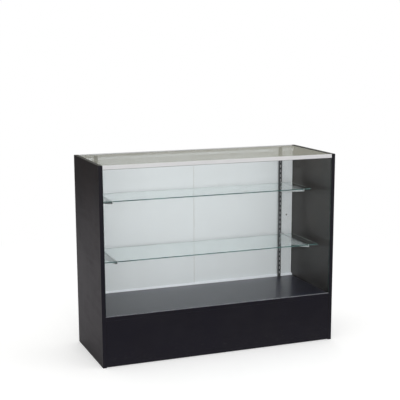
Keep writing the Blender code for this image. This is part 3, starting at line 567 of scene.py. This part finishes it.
def makeFinish(name, changes):
    values = {**plainFinish, **changes}
    look = {"Metallic": values["metallic"], "Specular_IOR_Level": values["specular"]}
    tree, shader, place = newMaterial(name, **look)
    if "stretch" in values:
        texture = useGroup(tree, drawnStreaks, place, Stretch=values["stretch"], Scale=values["scale"])
    else:
        texture = noise(tree, place, values["scale"], 3)
    smears = useGroup(tree, wipedSmears, place, Scale=values["smearScale"])
    wear = useGroup(tree, rubbedEdges, place, Amount=values["wear"], Scale=values["wearScale"])
    lines = useGroup(tree, hairlines, place, Amount=values["scratch"])
    dust = useGroup(tree, settledDust, place, Amount=values["dust"])

    tone = blend(tree, texture, values["tone"], values["second"])
    tone = blend(tree, times(tree, smears, values["smear"]), tone, values["smearTone"])
    tone = blend(tree, larger(tree, wear, lines), tone, values["bare"])
    tone = blend(tree, dust, tone, values["dustTone"])
    low, high = values["roughness"]
    half = 0.5 * (high - low)
    rough = calc(tree, "MULTIPLY_ADD", texture, half, low)
    rough = plus(tree, rough, times(tree, smears, half))
    rough = plus(tree, rough, times(tree, dust, values["dustRoughness"]))
    paint(tree, shader, tone, rough)
    relief(tree, shader, texture, values["depth"], values["strength"])
    return tree, shader, place


finishes = {
    "blackVinyl": {
        "tone": (0.018, 0.018, 0.018, 1),
        "second": (0.028, 0.028, 0.027, 1),
        "smearTone": (0.05, 0.05, 0.048, 1),
        "bare": (0.07, 0.07, 0.068, 1),
        "roughness": (0.42, 0.62),
        "stretch": (0.02, 1, 1),
        "scale": 1500.0,
        "depth": 0.00002,
    },
    "satinAluminium": {
        "tone": (0.745, 0.740, 0.750, 1),
        "second": (0.675, 0.670, 0.680, 1),
        "smearTone": (0.60, 0.595, 0.60, 1),
        "bare": (0.82, 0.82, 0.82, 1),
        "metallic": 0.5,
        "roughness": (0.42, 0.56),
        "stretch": (0.015, 1, 1),
        "scale": 1400.0,
        "depth": 0.00002,
        "dust": 0.06,
    },
    "whiteTrack": {
        "tone": (0.91, 0.93, 0.97, 1),
        "second": (0.86, 0.88, 0.92, 1),
        "smearTone": (0.58, 0.58, 0.58, 1),
        "bare": (0.86, 0.87, 0.88, 1),
        "roughness": (0.3, 0.5),
        "stretch": (0.02, 1, 1),
        "scale": 900.0,
        "depth": 0.00003,
        "smear": 0.2,
    },
    "blackSteel": {
        "tone": (0.060, 0.060, 0.064, 1),
        "second": (0.047, 0.047, 0.050, 1),
        "smearTone": (0.08, 0.08, 0.08, 1),
        "bare": (0.24, 0.235, 0.23, 1),
        "specular": 0.7,
        "roughness": (0.26, 0.42),
        "scale": 1100.0,
        "depth": 0.00003,
        "wear": 0.7,
    },
    "brightSteel": {
        "tone": (0.80, 0.80, 0.80, 1),
        "second": (0.68, 0.68, 0.69, 1),
        "smearTone": (0.50, 0.50, 0.49, 1),
        "bare": (0.85, 0.85, 0.84, 1),
        "metallic": 0.75,
        "roughness": (0.24, 0.4),
        "stretch": (1, 0.05, 1),
        "scale": 700.0,
        "depth": 0.00002,
    },
    "blackPlastic": {
        "tone": (0.020, 0.020, 0.021, 1),
        "second": (0.027, 0.027, 0.028, 1),
        "smearTone": (0.05, 0.05, 0.05, 1),
        "bare": (0.08, 0.08, 0.08, 1),
        "roughness": (0.34, 0.55),
        "scale": 1600.0,
        "depth": 0.00004,
    },
    "castZinc": {
        "tone": (0.46, 0.46, 0.47, 1),
        "second": (0.34, 0.34, 0.35, 1),
        "smearTone": (0.25, 0.25, 0.25, 1),
        "bare": (0.62, 0.62, 0.62, 1),
        "metallic": 1.0,
        "roughness": (0.38, 0.6),
        "scale": 520.0,
        "depth": 0.00008,
    },
}


# White hardboard doors: faint vertical roll marks, greyer by the pulls, where hands touch them, and along the
# leading edge, hand grime there with painted shade of the gap where the doors overlap, brown where the edge
# shows the board, dark in a ring round the hole for the pull
whiteDoor = {
    "face": (0.730, 0.754, 0.768, 1),
    "second": (0.695, 0.719, 0.733, 1),
    "handled": (0.50, 0.49, 0.46, 1),
    "edge": (0.40, 0.36, 0.31, 1),
    "leadBand": 0.005,
    "leadFade": 0.6,
    "leadShare": 0.55,
    "driven": (0.12, 0.115, 0.11, 1),
    "drivenReach": 0.0052,
    "drivenFade": 0.8,
    "drivenShare": 0.8,
    "roughness": (0.36, 0.52),
    "specular": 0.45,
    "rollStretch": (1, 1, 0.03),
    "rollScale": 260.0,
    "rollShare": 0.5,
    "orangePeel": 620.0,
    "depth": 0.00005,
    "strength": 0.5,
    "handReach": 0.09,
    "handScale": 26,
    "handRange": (0.42, 0.7),
    "handShare": 0.3,
    "smearScale": 4.0,
    "smearShare": 0.12,
    "wear": 0.6,
    "wearScale": 28.0,
    "scratch": 0.3,
    "scratchScale": 9.0,
    "scratchShare": 0.5,
    "rimRange": (0.35, 0.2),
    "rimShare": 0.75,
}


def makeDoorMaterial(name, pullPlace, leadX):
    values = whiteDoor
    tree, shader, place = newMaterial(name, Specular_IOR_Level=values["specular"])
    rolled = useGroup(tree, drawnStreaks, place, Stretch=values["rollStretch"], Scale=values["rollScale"])
    peel = noise(tree, place, values["orangePeel"], 2)
    smears = useGroup(tree, wipedSmears, place, Scale=values["smearScale"])
    wear = useGroup(tree, rubbedEdges, place, Amount=values["wear"], Scale=values["wearScale"])
    lines = useGroup(tree, hairlines, place, Amount=values["scratch"], Scale=values["scratchScale"])

    near = rescale(tree, distanceTo(tree, place, pullPlace), values["handReach"], 0.0)
    marks = noise(tree, place, values["handScale"], 5, 0.65)
    hands = times(tree, near, rescale(tree, marks, *values["handRange"]))
    rim = rescale(tree, calc(tree, "ABSOLUTE", facingOf(tree)["Y"]), *values["rimRange"])
    # Darker along the leading edge: hand grime, and painted shade of the gap where the doors overlap
    fromLead = calc(tree, "ABSOLUTE", calc(tree, "SUBTRACT", partsOf(tree, place)["X"], leadX))
    band = values["leadBand"]
    leadGapShade = times(tree, rescale(tree, fromLead, band, band * values["leadFade"]), values["leadShare"])

    tone = blend(tree, rolled, values["face"], values["second"])
    tone = blend(tree, times(tree, smears, values["smearShare"]), tone, values["handled"])
    touchedAndShaded = larger(tree, leadGapShade, times(tree, hands, values["handShare"]))
    tone = blend(tree, touchedAndShaded, tone, values["handled"])
    tone = blend(tree, times(tree, lines, values["scratchShare"]), tone, values["handled"])
    # Darker within a small ring round the pull's axis
    flat = addNode(tree, "ShaderNodeVectorMath", {0: place, 1: (1, 0, 1)}, operation="MULTIPLY").outputs[0]
    ring = distanceTo(tree, flat, (pullPlace[0], 0, pullPlace[2]))
    reach = values["drivenReach"]
    driven = rescale(tree, ring, reach, reach * values["drivenFade"])
    tone = blend(tree, times(tree, driven, values["drivenShare"]), tone, values["driven"])
    worn = larger(tree, wear, times(tree, rim, values["rimShare"]))
    tone = blend(tree, worn, tone, values["edge"])
    paint(tree, shader, tone, rescale(tree, smears, 0, 1, *values["roughness"]))
    height = plus(tree, peel, times(tree, rolled, values["rollShare"]))
    relief(tree, shader, height, values["depth"], values["strength"])


# Threads on the plain shanks: a fine helix read from the place along the bolt
threads = {"axis": "X", "pitch": 0.00125, "depth": 0.0003, "strength": 0.7}


def makeThreadMaterial(name, finish):
    tree, shader, place = makeFinish(name, finish)
    turns = times(tree, partsOf(tree, place)[threads["axis"]], 2 * math.pi / threads["pitch"])
    under = shader.inputs["Normal"].links[0].from_socket
    relief(tree, shader, calc(tree, "SINE", turns), threads["depth"], threads["strength"], under)


upright = (1, 1, 0.06)
lengthways = (0.06, 1, 1)
makeBoardMaterial("uprightBoard", upright)
makeBoardMaterial("rightBoard", upright, **rightPaintedLightLook)
makeBoardMaterial("kickBand", upright, **kickLook)
makeBoardMaterial("lengthwaysBoard", lengthways, **kickLook)
makeBoardMaterial("deckBoard", lengthways, **deckLookReflectionTint)
makeRawBoardMaterial()
makeGlassMaterial("clearGlass")
makeGlassMaterial("shelfGlass", **shelfGlass)
makeGlassEdgeMaterial("glassEdge")
makeGlassEdgeMaterial("shelfEdge", **shelfGlass)
makeClearVinylMaterial()
for finishName, finishValues in finishes.items():
    makeFinish(finishName, finishValues)
makeThreadMaterial("boltSteel", finishes["brightSteel"])
print("materials made:", len(materials))


# Pieces


# Points this near are one, faces this flat are one, and edges this short would export as faulty faces
mending = {"merge": 0.00001, "flatAngle": 0.5, "mergeTurned": 0.000002, "tinyEdge": 0.000004}


# The layer that marks faces rounded from an edge, where wear shows
def newMark(shape):
    return shape.faces.layers.float.new("rubbedEdge")


# A merged copy of a node's own mesh, with its flat faces whole again, and its layer of marks
def copyOfNode(node):
    shape = bmesh.new()
    shape.from_mesh(frame["nodes"][node].data)
    bmesh.ops.remove_doubles(shape, verts=shape.verts, dist=mending["merge"])
    bmesh.ops.dissolve_limit(
        shape,
        angle_limit=math.radians(mending["flatAngle"]),
        use_dissolve_boundaries=False,
        verts=shape.verts,
        edges=shape.edges,
    )
    return shape, newMark(shape)


# Rounds the chosen edges and marks the new faces, so that wear can find them
def roundEdges(shape, edges, width, segments, mark):
    made = bmesh.ops.bevel(
        shape,
        geom=edges,
        offset=width,
        offset_type="OFFSET",
        segments=segments,
        profile=0.5,
        affect="EDGES",
        material=-1,
        clamp_overlap=True,
    )
    for face in made["faces"]:
        face[mark] = 1.0


def sharpEdges(shape, angle=30):
    return [e for e in shape.edges if e.is_manifold and e.calc_face_angle(0) > math.radians(angle)]


def newObject(name, shape):
    mesh = bpy.data.meshes.new(name)
    shape.to_mesh(mesh)
    shape.free()
    made = bpy.data.objects.new(name, mesh)
    scene.collection.objects.link(made)
    return made


def finishPiece(node, ending, shape, lookNames, sharpFrom=35):
    bmesh.ops.dissolve_degenerate(shape, dist=mending["tinyEdge"], edges=shape.edges)
    piece = newObject(node + ending, shape)
    mesh = piece.data
    for look in lookNames:
        mesh.materials.append(materials[look])
    for polygon in mesh.polygons:
        polygon.use_smooth = True
    mesh.set_sharp_from_angle(angle=math.radians(sharpFrom))
    even = piece.modifiers.new("evenShading", "WEIGHTED_NORMAL")
    even.keep_sharp = True
    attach(piece, bodyOf[node])
    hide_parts(node)


# The edge bands of these boards look unlike their broad faces, which lie across the axis given
bandLooks = {
    "deckBoard": ("lengthwaysBoard", 2),
    "uprightBoard": ("kickBand", 0),
    "rightBoard": ("kickBand", 0),
}

# Nodes whose form is right but for their edges, by the start of their names: bevel width and segments,
# look and slot
edged = {
    "end_panel_left": (0.00025, 2, "uprightBoard", "black_board"),
    "end_panel_right": (0.00025, 2, "rightBoard", "black_board"),
    "deck_panel": (0.00025, 2, "deckBoard", "black_board"),
    "kick_panel": (0.00025, 2, "lengthwaysBoard", "black_board"),
    "rear_base_panel": (0.00025, 2, "lengthwaysBoard", "black_board"),
    "centre_support": (0.00025, 2, "rawBoard", "underside_board"),
    "front_glass_channel": (0.00025, 2, "clearVinyl", "clear_vinyl"),
    "front_glass_gasket": (0.0002, 2, "blackVinyl", "black_vinyl"),
    "front_top_rail": (0.0005, 3, "satinAluminium", "satin_aluminium"),
    "rear_top_rail": (0.0005, 3, "satinAluminium", "satin_aluminium"),
    "door_track": (0.0004, 3, "whiteTrack", "white_track"),
    "bracket": (0.0004, 2, "brightSteel", "bright_steel"),
    "cushion": (0.0004, 2, "clearVinyl", "clear_vinyl"),
    "standard_foot": (0.0003, 2, "blackPlastic", "black_plastic"),
}


# The soft lips of the gasket are let down below the solid's: the real black gasket, lengthened as painted
# shade under the rail
gasket = {"lips": 0.0005, "drop": 0.0007}


def makeEdgedPiece(node, look, width, segments=2, ending="_edged", angle=30):
    shape, mark = copyOfNode(node)
    roundEdges(shape, sharpEdges(shape, angle), width, segments, mark)
    looks = [look]
    if look in bandLooks:
        bandLook, axis = bandLooks[look]
        looks.append(bandLook)
        for face in shape.faces:
            face.material_index = 0 if abs(face.normal[axis]) > 0.9 else 1
    # The lips let down make a dark strip of painted shade under the rail
    if node == "front_glass_gasket":
        bottom = min(vertex.co.z for vertex in shape.verts)
        for vertex in shape.verts:
            if vertex.co.z < bottom + gasket["lips"]:
                vertex.co.z -= gasket["drop"]
    finishPiece(node, ending, shape, looks)


# Glass panes, with the width of their ground arrises: the two broad faces stay clear, the rim is green
paneCorner = 0.0015
panes = {
    "glass_front": (0.0006, ["clearGlass", "glassEdge"]),
    "glass_top": (0.0008, ["clearGlass", "glassEdge"]),
    "glass_shelf_upper": (0.0008, ["shelfGlass", "shelfEdge"]),
    "glass_shelf_lower": (0.0008, ["shelfGlass", "shelfEdge"]),
}


def makePane(node, arris, looks):
    low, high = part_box(node)
    size = high - low
    thin = min(range(3), key=lambda axis: size[axis])
    shape = bmesh.new()
    mark = newMark(shape)
    place = Matrix.Translation((low + high) / 2) @ Matrix.Diagonal((*size, 1))
    bmesh.ops.create_cube(shape, size=1, matrix=place)
    rim = [e for e in shape.edges if abs((e.verts[0].co - e.verts[1].co)[thin]) < size[thin] / 2]
    corners = [e for e in shape.edges if e not in rim]
    roundEdges(shape, corners, paneCorner, 2, mark)
    roundEdges(shape, sharpEdges(shape, 69), arris, 2, mark)
    for face in shape.faces:
        face.material_index = 0 if abs(face.normal[thin]) > 0.99 else 1
    finishPiece(node, "_pane", shape, looks)


# Doors: their own form again, with fine arrises, each with its own material for the marks of hands and the
# painted shade along its leading edge
doorArris = 0.0003


def makeDoor(side):
    node = "door_" + side
    pullLow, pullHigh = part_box("door_pull_" + side)
    middle = (pullLow + pullHigh) / 2
    doorLow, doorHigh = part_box(node)
    leadX = doorHigh.x if side == "left" else doorLow.x
    look = node + "_white"
    makeDoorMaterial(look, (middle.x, pullHigh.y, middle.z), leadX)
    makeEdgedPiece(node, look, doorArris)


# Slotted standards: the slots' rims are eased and the folded corners get the bend radius of sheet steel
standards = {"bend": 0.0013, "bendSegments": 4, "arris": 0.00022, "near": 0.00005, "ends": 0.001}


def makeStandard(side):
    values = standards
    node = "standard_" + side
    low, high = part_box(node)
    shape, mark = copyOfNode(node)
    folds = []
    rims = []
    for edge in sharpEdges(shape, 50):
        start, end = edge.verts[0].co, edge.verts[1].co
        along = abs((start - end).normalized().z) > 0.99
        atFront = max(abs(start.y - low.y), abs(end.y - low.y)) < values["near"]
        atSide = min(abs(start.x - low.x), abs(start.x - high.x)) < values["near"]
        if along and atFront and atSide:
            folds.append(edge)
        elif atFront and low.z + values["ends"] < start.z < high.z - values["ends"]:
            rims.append(edge)
    roundEdges(shape, rims, values["arris"], 1, mark)
    folds = [edge for edge in folds if edge.is_valid]
    roundEdges(shape, folds, values["bend"], values["bendSegments"], mark)
    finishPiece(node, "_folded", shape, ["blackSteel"])


# A turned form: profile points of radius and height, spun about its own axis
def turnedShape(profile, steps):
    shape = bmesh.new()
    line = [shape.verts.new((radius, 0, height)) for radius, height in profile]
    edges = [shape.edges.new(pair) for pair in zip(line, line[1:])]
    bmesh.ops.spin(
        shape,
        geom=line + edges,
        cent=(0, 0, 0),
        axis=(0, 0, 1),
        angle=2 * math.pi,
        steps=steps,
        use_merge=True,
    )
    bmesh.ops.remove_doubles(shape, verts=shape.verts, dist=mending["mergeTurned"])
    bmesh.ops.recalc_face_normals(shape, faces=shape.faces)
    return shape


# Screw heads: a tapered cross recess is cut into the turned form, and the cut form given back
screwHeads = {"steps": 32, "bladeShare": 0.26, "taperShare": 0.45}


def cutCross(shape, size, depth):
    blank = newObject("screwBlank", shape)
    tools = []
    for turn in (0, math.pi / 2):
        wedge = bmesh.new()
        scale = Matrix.Diagonal((size, size * screwHeads["bladeShare"], 2 * depth, 1))
        bmesh.ops.create_cube(wedge, size=1, matrix=Matrix.Rotation(turn, 4, "Z") @ scale)
        for vertex in wedge.verts:
            if vertex.co.z < 0:
                vertex.co.x *= screwHeads["taperShare"]
                vertex.co.y *= screwHeads["taperShare"]
        tool = newObject("crossTool", wedge)
        carve = blank.modifiers.new("cross", "BOOLEAN")
        carve.operation = "DIFFERENCE"
        carve.object = tool
        tools.append(tool)
    bpy.context.view_layer.update()
    made = bmesh.new()
    made.from_object(blank, bpy.context.evaluated_depsgraph_get())
    for temporary in [blank, *tools]:
        oldMesh = temporary.data
        bpy.data.objects.remove(temporary)
        bpy.data.meshes.remove(oldMesh)
    return made


def makeScrew(node, profile, size, depth, top, turn):
    shape = cutCross(turnedShape(profile, screwHeads["steps"]), size, depth)
    bmesh.ops.transform(shape, matrix=Matrix.Translation(top) @ turn, verts=shape.verts)
    newMark(shape)
    finishPiece(node, "_cross", shape, ["blackSteel"], 30)


# Pan head screws: which way the head faces, the shank's radius, the head's height, and shares of these
panShares = {"crown": 0.75, "crownPower": 1.4, "rim": 0.92, "under": 0.96, "tip": 0.82, "cross": (1.15, 0.55)}
panScrews = {
    "door_pull_screw": {"faces": "-Y", "shank": 0.0012, "head": 0.001},
    "standard_screw": {"faces": "-Y", "shank": 0.0016, "head": 0.0018},
    "foot_screw": {"faces": "Z", "shank": 0.0016, "head": 0.0018},
}


def makePanScrew(node, values):
    low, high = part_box(node)
    middle = (low + high) / 2
    radius = (high.x - low.x) / 2
    if values["faces"] == "Z":
        length, top = high.z - low.z, Vector((middle.x, middle.y, high.z))
        turn = Matrix.Identity(4)
    else:
        length, top = high.y - low.y, Vector((middle.x, low.y, middle.z))
        turn = Matrix.Rotation(math.pi / 2, 4, "X")
    head, shank = values["head"], values["shank"]
    profile = [(0, 0)]
    for step in range(1, 7):  # a domed crown that rolls over into the rim
        lift = math.radians(step * 15)
        fall = (1 - math.cos(lift)) ** panShares["crownPower"]
        profile.append((radius * math.sin(lift), -panShares["crown"] * head * fall))
    profile += [
        (radius, -panShares["rim"] * head),
        (panShares["under"] * radius, -head),
        (shank, -head),
        (shank, -head - panShares["tip"] * (length - head)),
        (0, -length),
    ]
    size, depth = panShares["cross"]
    makeScrew(node, profile, size * radius, depth * head, top, turn)


# Countersunk screws, flush in the outer faces of the end panels
sunkScrews = {"rim": 0.0003, "cone": 0.0025, "shank": 0.0018, "tip": 0.003, "cross": (0.0046, 0.0015)}


def makeSunkScrew(node):
    values = sunkScrews
    low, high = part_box(node)
    middle = (low + high) / 2
    radius = (high.z - low.z) / 2
    length = high.x - low.x
    toRight = middle.x > 0
    top = Vector((high.x if toRight else low.x, middle.y, middle.z))
    turn = Matrix.Rotation(math.pi / 2 if toRight else -math.pi / 2, 4, "Y")
    profile = [
        (0, 0),
        (radius - values["rim"], 0),
        (radius, -values["rim"]),
        (values["shank"], -values["cone"]),
        (values["shank"], values["tip"] - length),
        (0, -length),
    ]
    makeScrew(node, profile, *values["cross"], top, turn)


# Door pulls: a dished disc with a rolled rim, and the post that runs through the door
pulls = {
    "steps": 64,
    "dish": [(0, -0.0012), (0.5, -0.0012), (0.62, -0.0011), (0.7, -0.0006), (0.76, -0.0002)],
    "roll": [(0.82, 0), (0.88, 0), (0.94, -0.0002), (0.985, -0.0006), (1, -0.0011)],
    "rim": [(1, -0.0018), (0.985, -0.002)],
    "height": 0.002,
    "post": 0.0024,
    "fillet": 0.0004,
    "chamfer": 0.0002,
    "bore": 0.0015,
    "boreDepth": 0.0045,
    "wornShare": 0.9,
}


def makePull(side):
    values = pulls
    node = "door_pull_" + side
    low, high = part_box(node)
    middle = (low + high) / 2
    radius = (high.x - low.x) / 2
    length = high.y - low.y
    outline = values["dish"] + values["roll"] + values["rim"]
    profile = [(share * radius, height) for share, height in outline]
    profile += [
        (values["post"] + values["fillet"], -values["height"]),
        (values["post"], -values["height"] - values["fillet"]),
        (values["post"], -length + values["chamfer"]),
        (values["post"] - values["chamfer"], -length),
        (values["bore"], -length),
        (values["bore"], -length + values["boreDepth"]),
        (0, -length + values["boreDepth"]),
    ]
    shape = turnedShape(profile, values["steps"])
    place = Matrix.Translation((middle.x, high.y, middle.z)) @ Matrix.Rotation(-math.pi / 2, 4, "X")
    bmesh.ops.transform(shape, matrix=place, verts=shape.verts)
    mark = newMark(shape)
    for face in shape.faces:
        away = face.calc_center_median() - middle
        face[mark] = 1.0 if math.hypot(away.x, away.z) > values["wornShare"] * radius else 0.0
    finishPiece(node, "_dished", shape, ["blackPlastic"], 40)


# Cams: the cast disc with its notch and slot, arrises broken
camArris = 0.0003


for nodeStart, (edgeWidth, edgeSegments, lookName, slotName) in edged.items():
    for nodeName in bodyOf:
        if nodeName.startswith(nodeStart):
            makeEdgedPiece(nodeName, lookName, edgeWidth, edgeSegments)
print("edged pieces made")
for nodeName, paneValues in panes.items():
    makePane(nodeName, *paneValues)
for sideName in ("left", "right"):
    makeDoor(sideName)
    makeStandard(sideName)
    makePull(sideName)
print("panes, doors, pulls and standards made")
for nodeName in bodyOf:
    kind = nodeName.rsplit("_", 1)[0]
    if kind in panScrews:
        makePanScrew(nodeName, panScrews[kind])
    elif nodeName.startswith("rail_screw"):
        makeSunkScrew(nodeName)
    elif nodeName.startswith("cam_"):
        makeEdgedPiece(nodeName, "castZinc", camArris, 2, "_cast", 40)
    elif nodeName.startswith("bolt_"):
        frame["nodes"][nodeName].material_slots[0].material = materials["boltSteel"]
print("screws, cams and bolts made")


# Studio: floor, world, lamps and camera
studio = {
    "floorTone": (0.80, 0.80, 0.80, 1),
    "sweepTone": (0.35, 0.34, 0.36, 1),
    "roomTone": (0.035, 0.035, 0.036, 1),
    "sweepEdge": (-0.7, -0.25),
    "sweepEnd": (2.0, 6.0, 1.0, 0.2),
    "floorSize": 40.0,
    "floorLift": 0.33,
    "fade": (1.3, 2.8),
    "soft": 0.61,
    "horizonTint": (1.0, 0.99, 0.83, 1),
    "horizonBack": 0.355,
    "horizonFront": 0.95,
    "frontRange": (0.2, -0.5),
    "zenith": 0.9,
    "skyRange": (0.1, 0.8),
    "groundLevel": 0.05,
    "wing": (-0.30, 0.45, 0.33, 1.05),
    "wingTop": (0.25, 0.6),
    "warmRange": (0.7, 0.1),
    "lampAim": (0.0, 0.0, 0.5),
    "lamps": {
        "overhead": {"place": (0.0, -0.4, 3.6), "size": 3.2, "power": 18},
        "front": {"place": (-0.3, -5.8, 1.5), "size": 2.4, "power": 166},
        "keyLeft": {"place": (-2.7, -4.0, 1.7), "size": 3.0, "power": 28},
        "fillRight": {"place": (3.3, -3.6, 1.6), "size": 3.0, "power": 26},
        "backFill": {"place": (0.5, 4.2, 2.2), "size": 2.4, "power": 45},
    },
}


# A ray that has met a mirror, also inside a pane on its way out again
def metMirror(tree, path):
    return calc(tree, "GREATER_THAN", path.outputs["Glossy Depth"], 0.5)


# A floor that fades to the background's white, and is dark where a board mirrors it
def makeFloor():
    values = studio
    shape = bmesh.new()
    bmesh.ops.create_grid(shape, x_segments=1, y_segments=1, size=values["floorSize"] / 2)
    floor = newObject("studioFloor", shape)
    tree, shader, place = newMaterial("studioFloor", Roughness=0.9, Specular_IOR_Level=0.0)
    tree.nodes.remove(shader)
    path = tree.nodes.new("ShaderNodeLightPath")
    forward = partsOf(tree, place)["Y"]
    sweep = rescale(tree, forward, *values["sweepEdge"])
    sweep = times(tree, sweep, rescale(tree, forward, *values["sweepEnd"]))
    mirrored = blend(tree, sweep, values["roomTone"], values["sweepTone"])
    turnedBack = metMirror(tree, path)
    tone = blend(tree, turnedBack, values["floorTone"], mirrored)
    matt = addNode(tree, "ShaderNodeBsdfDiffuse", {"Color": tone})
    seen = larger(tree, path.outputs["Is Camera Ray"], path.outputs["Is Transmission Ray"])
    seen = times(tree, seen, calc(tree, "SUBTRACT", 1.0, turnedBack))
    glow = addNode(tree, "ShaderNodeEmission", {"Strength": times(tree, seen, values["floorLift"])})
    near = addNode(tree, "ShaderNodeAddShader", {0: matt.outputs[0], 1: glow.outputs[0]})
    away = addNode(tree, "ShaderNodeVectorMath", {0: place}, operation="LENGTH").outputs["Value"]
    white = addNode(tree, "ShaderNodeEmission", {"Strength": 1.0})
    share = times(tree, rescale(tree, away, *values["fade"]), seen)
    both = addNode(tree, "ShaderNodeMixShader", {0: share, 1: near.outputs[0], 2: white.outputs[0]})
    tree.links.new(both.outputs[0], tree.nodes["Material Output"].inputs["Surface"])
    floor.data.materials.append(materials["studioFloor"])


# White behind the case, dimmer towards the back and one wing where a board mirrors it
def makeWorld():
    values = studio
    world = bpy.data.worlds.new("softStudio")
    scene.world = world
    world.use_nodes = True
    tree = world.node_tree
    back = tree.nodes["Background"]
    path = tree.nodes.new("ShaderNodeLightPath")
    direction = tree.nodes.new("ShaderNodeTexCoord").outputs["Generated"]
    parts = partsOf(tree, direction)
    height = parts["Z"]
    front = rescale(tree, parts["Y"], *values["frontRange"])
    horizon = rescale(tree, front, 0, 1, values["horizonBack"], values["horizonFront"])
    sky = rescale(tree, height, *values["skyRange"])
    sky = plus(tree, horizon, times(tree, sky, calc(tree, "SUBTRACT", values["zenith"], horizon)))
    turnedBack = metMirror(tree, path)
    straight = times(tree, path.outputs["Is Transmission Ray"], calc(tree, "SUBTRACT", 1.0, turnedBack))
    level = calc(tree, "LESS_THAN", height, values["groundLevel"])
    through = times(tree, straight, larger(tree, level, sky))
    wing = rescale(tree, parts["X"], *values["wing"])
    wing = larger(tree, wing, rescale(tree, height, *values["wingTop"]))
    wing = larger(tree, wing, front)
    glossy = times(tree, turnedBack, times(tree, sky, wing))
    soft = times(tree, path.outputs["Is Diffuse Ray"], values["soft"])
    shown = larger(tree, path.outputs["Is Camera Ray"], larger(tree, through, glossy))
    tree.links.new(larger(tree, shown, soft), back.inputs["Strength"])
    above = calc(tree, "GREATER_THAN", height, values["groundLevel"])
    low = times(tree, rescale(tree, height, *values["warmRange"]), above)
    warm = times(tree, low, calc(tree, "SUBTRACT", 1.0, front))
    warm = times(tree, warm, calc(tree, "SUBTRACT", 1.0, path.outputs["Is Camera Ray"]))
    tree.links.new(blend(tree, warm, (1, 1, 1, 1), values["horizonTint"]), back.inputs["Color"])


def makeLamps():
    for name, values in studio["lamps"].items():
        lamp = bpy.data.lights.new(name, "AREA")
        lamp.energy = values["power"]
        lamp.shape = "SQUARE"
        lamp.size = values["size"]
        holder = bpy.data.objects.new(name, lamp)
        scene.collection.objects.link(holder)
        holder.location = values["place"]
        holder.visible_glossy = holder.visible_transmission = holder.visible_camera = False
        aim = Vector(studio["lampAim"]) - Vector(values["place"])
        holder.rotation_euler = aim.to_track_quat("-Z", "Y").to_euler()


camera = {
    "lens": 87.74,
    "shift": (-0.0327, 0.0777),
    "place": (-1.7644, -4.4993, 1.5456),
    "yaw": 21.886,
    "pitch": 11.353,
    "roll": -0.062,
}


def makeCamera():
    data = bpy.data.cameras.new("photoView")
    data.lens = camera["lens"]
    data.sensor_width = 36
    data.shift_x, data.shift_y = camera["shift"]
    eye = bpy.data.objects.new("photoView", data)
    scene.collection.objects.link(eye)
    eye.location = camera["place"]
    turn = Matrix.Rotation(math.radians(-camera["yaw"]), 4, "Z")
    tilt = Matrix.Rotation(math.radians(90 - camera["pitch"]), 4, "X")
    roll = Matrix.Rotation(math.radians(camera["roll"]), 4, "Z")
    eye.rotation_euler = (turn @ tilt @ roll).to_euler()
    scene.camera = eye


makeFloor()
makeWorld()
makeLamps()
makeCamera()
print("studio made")
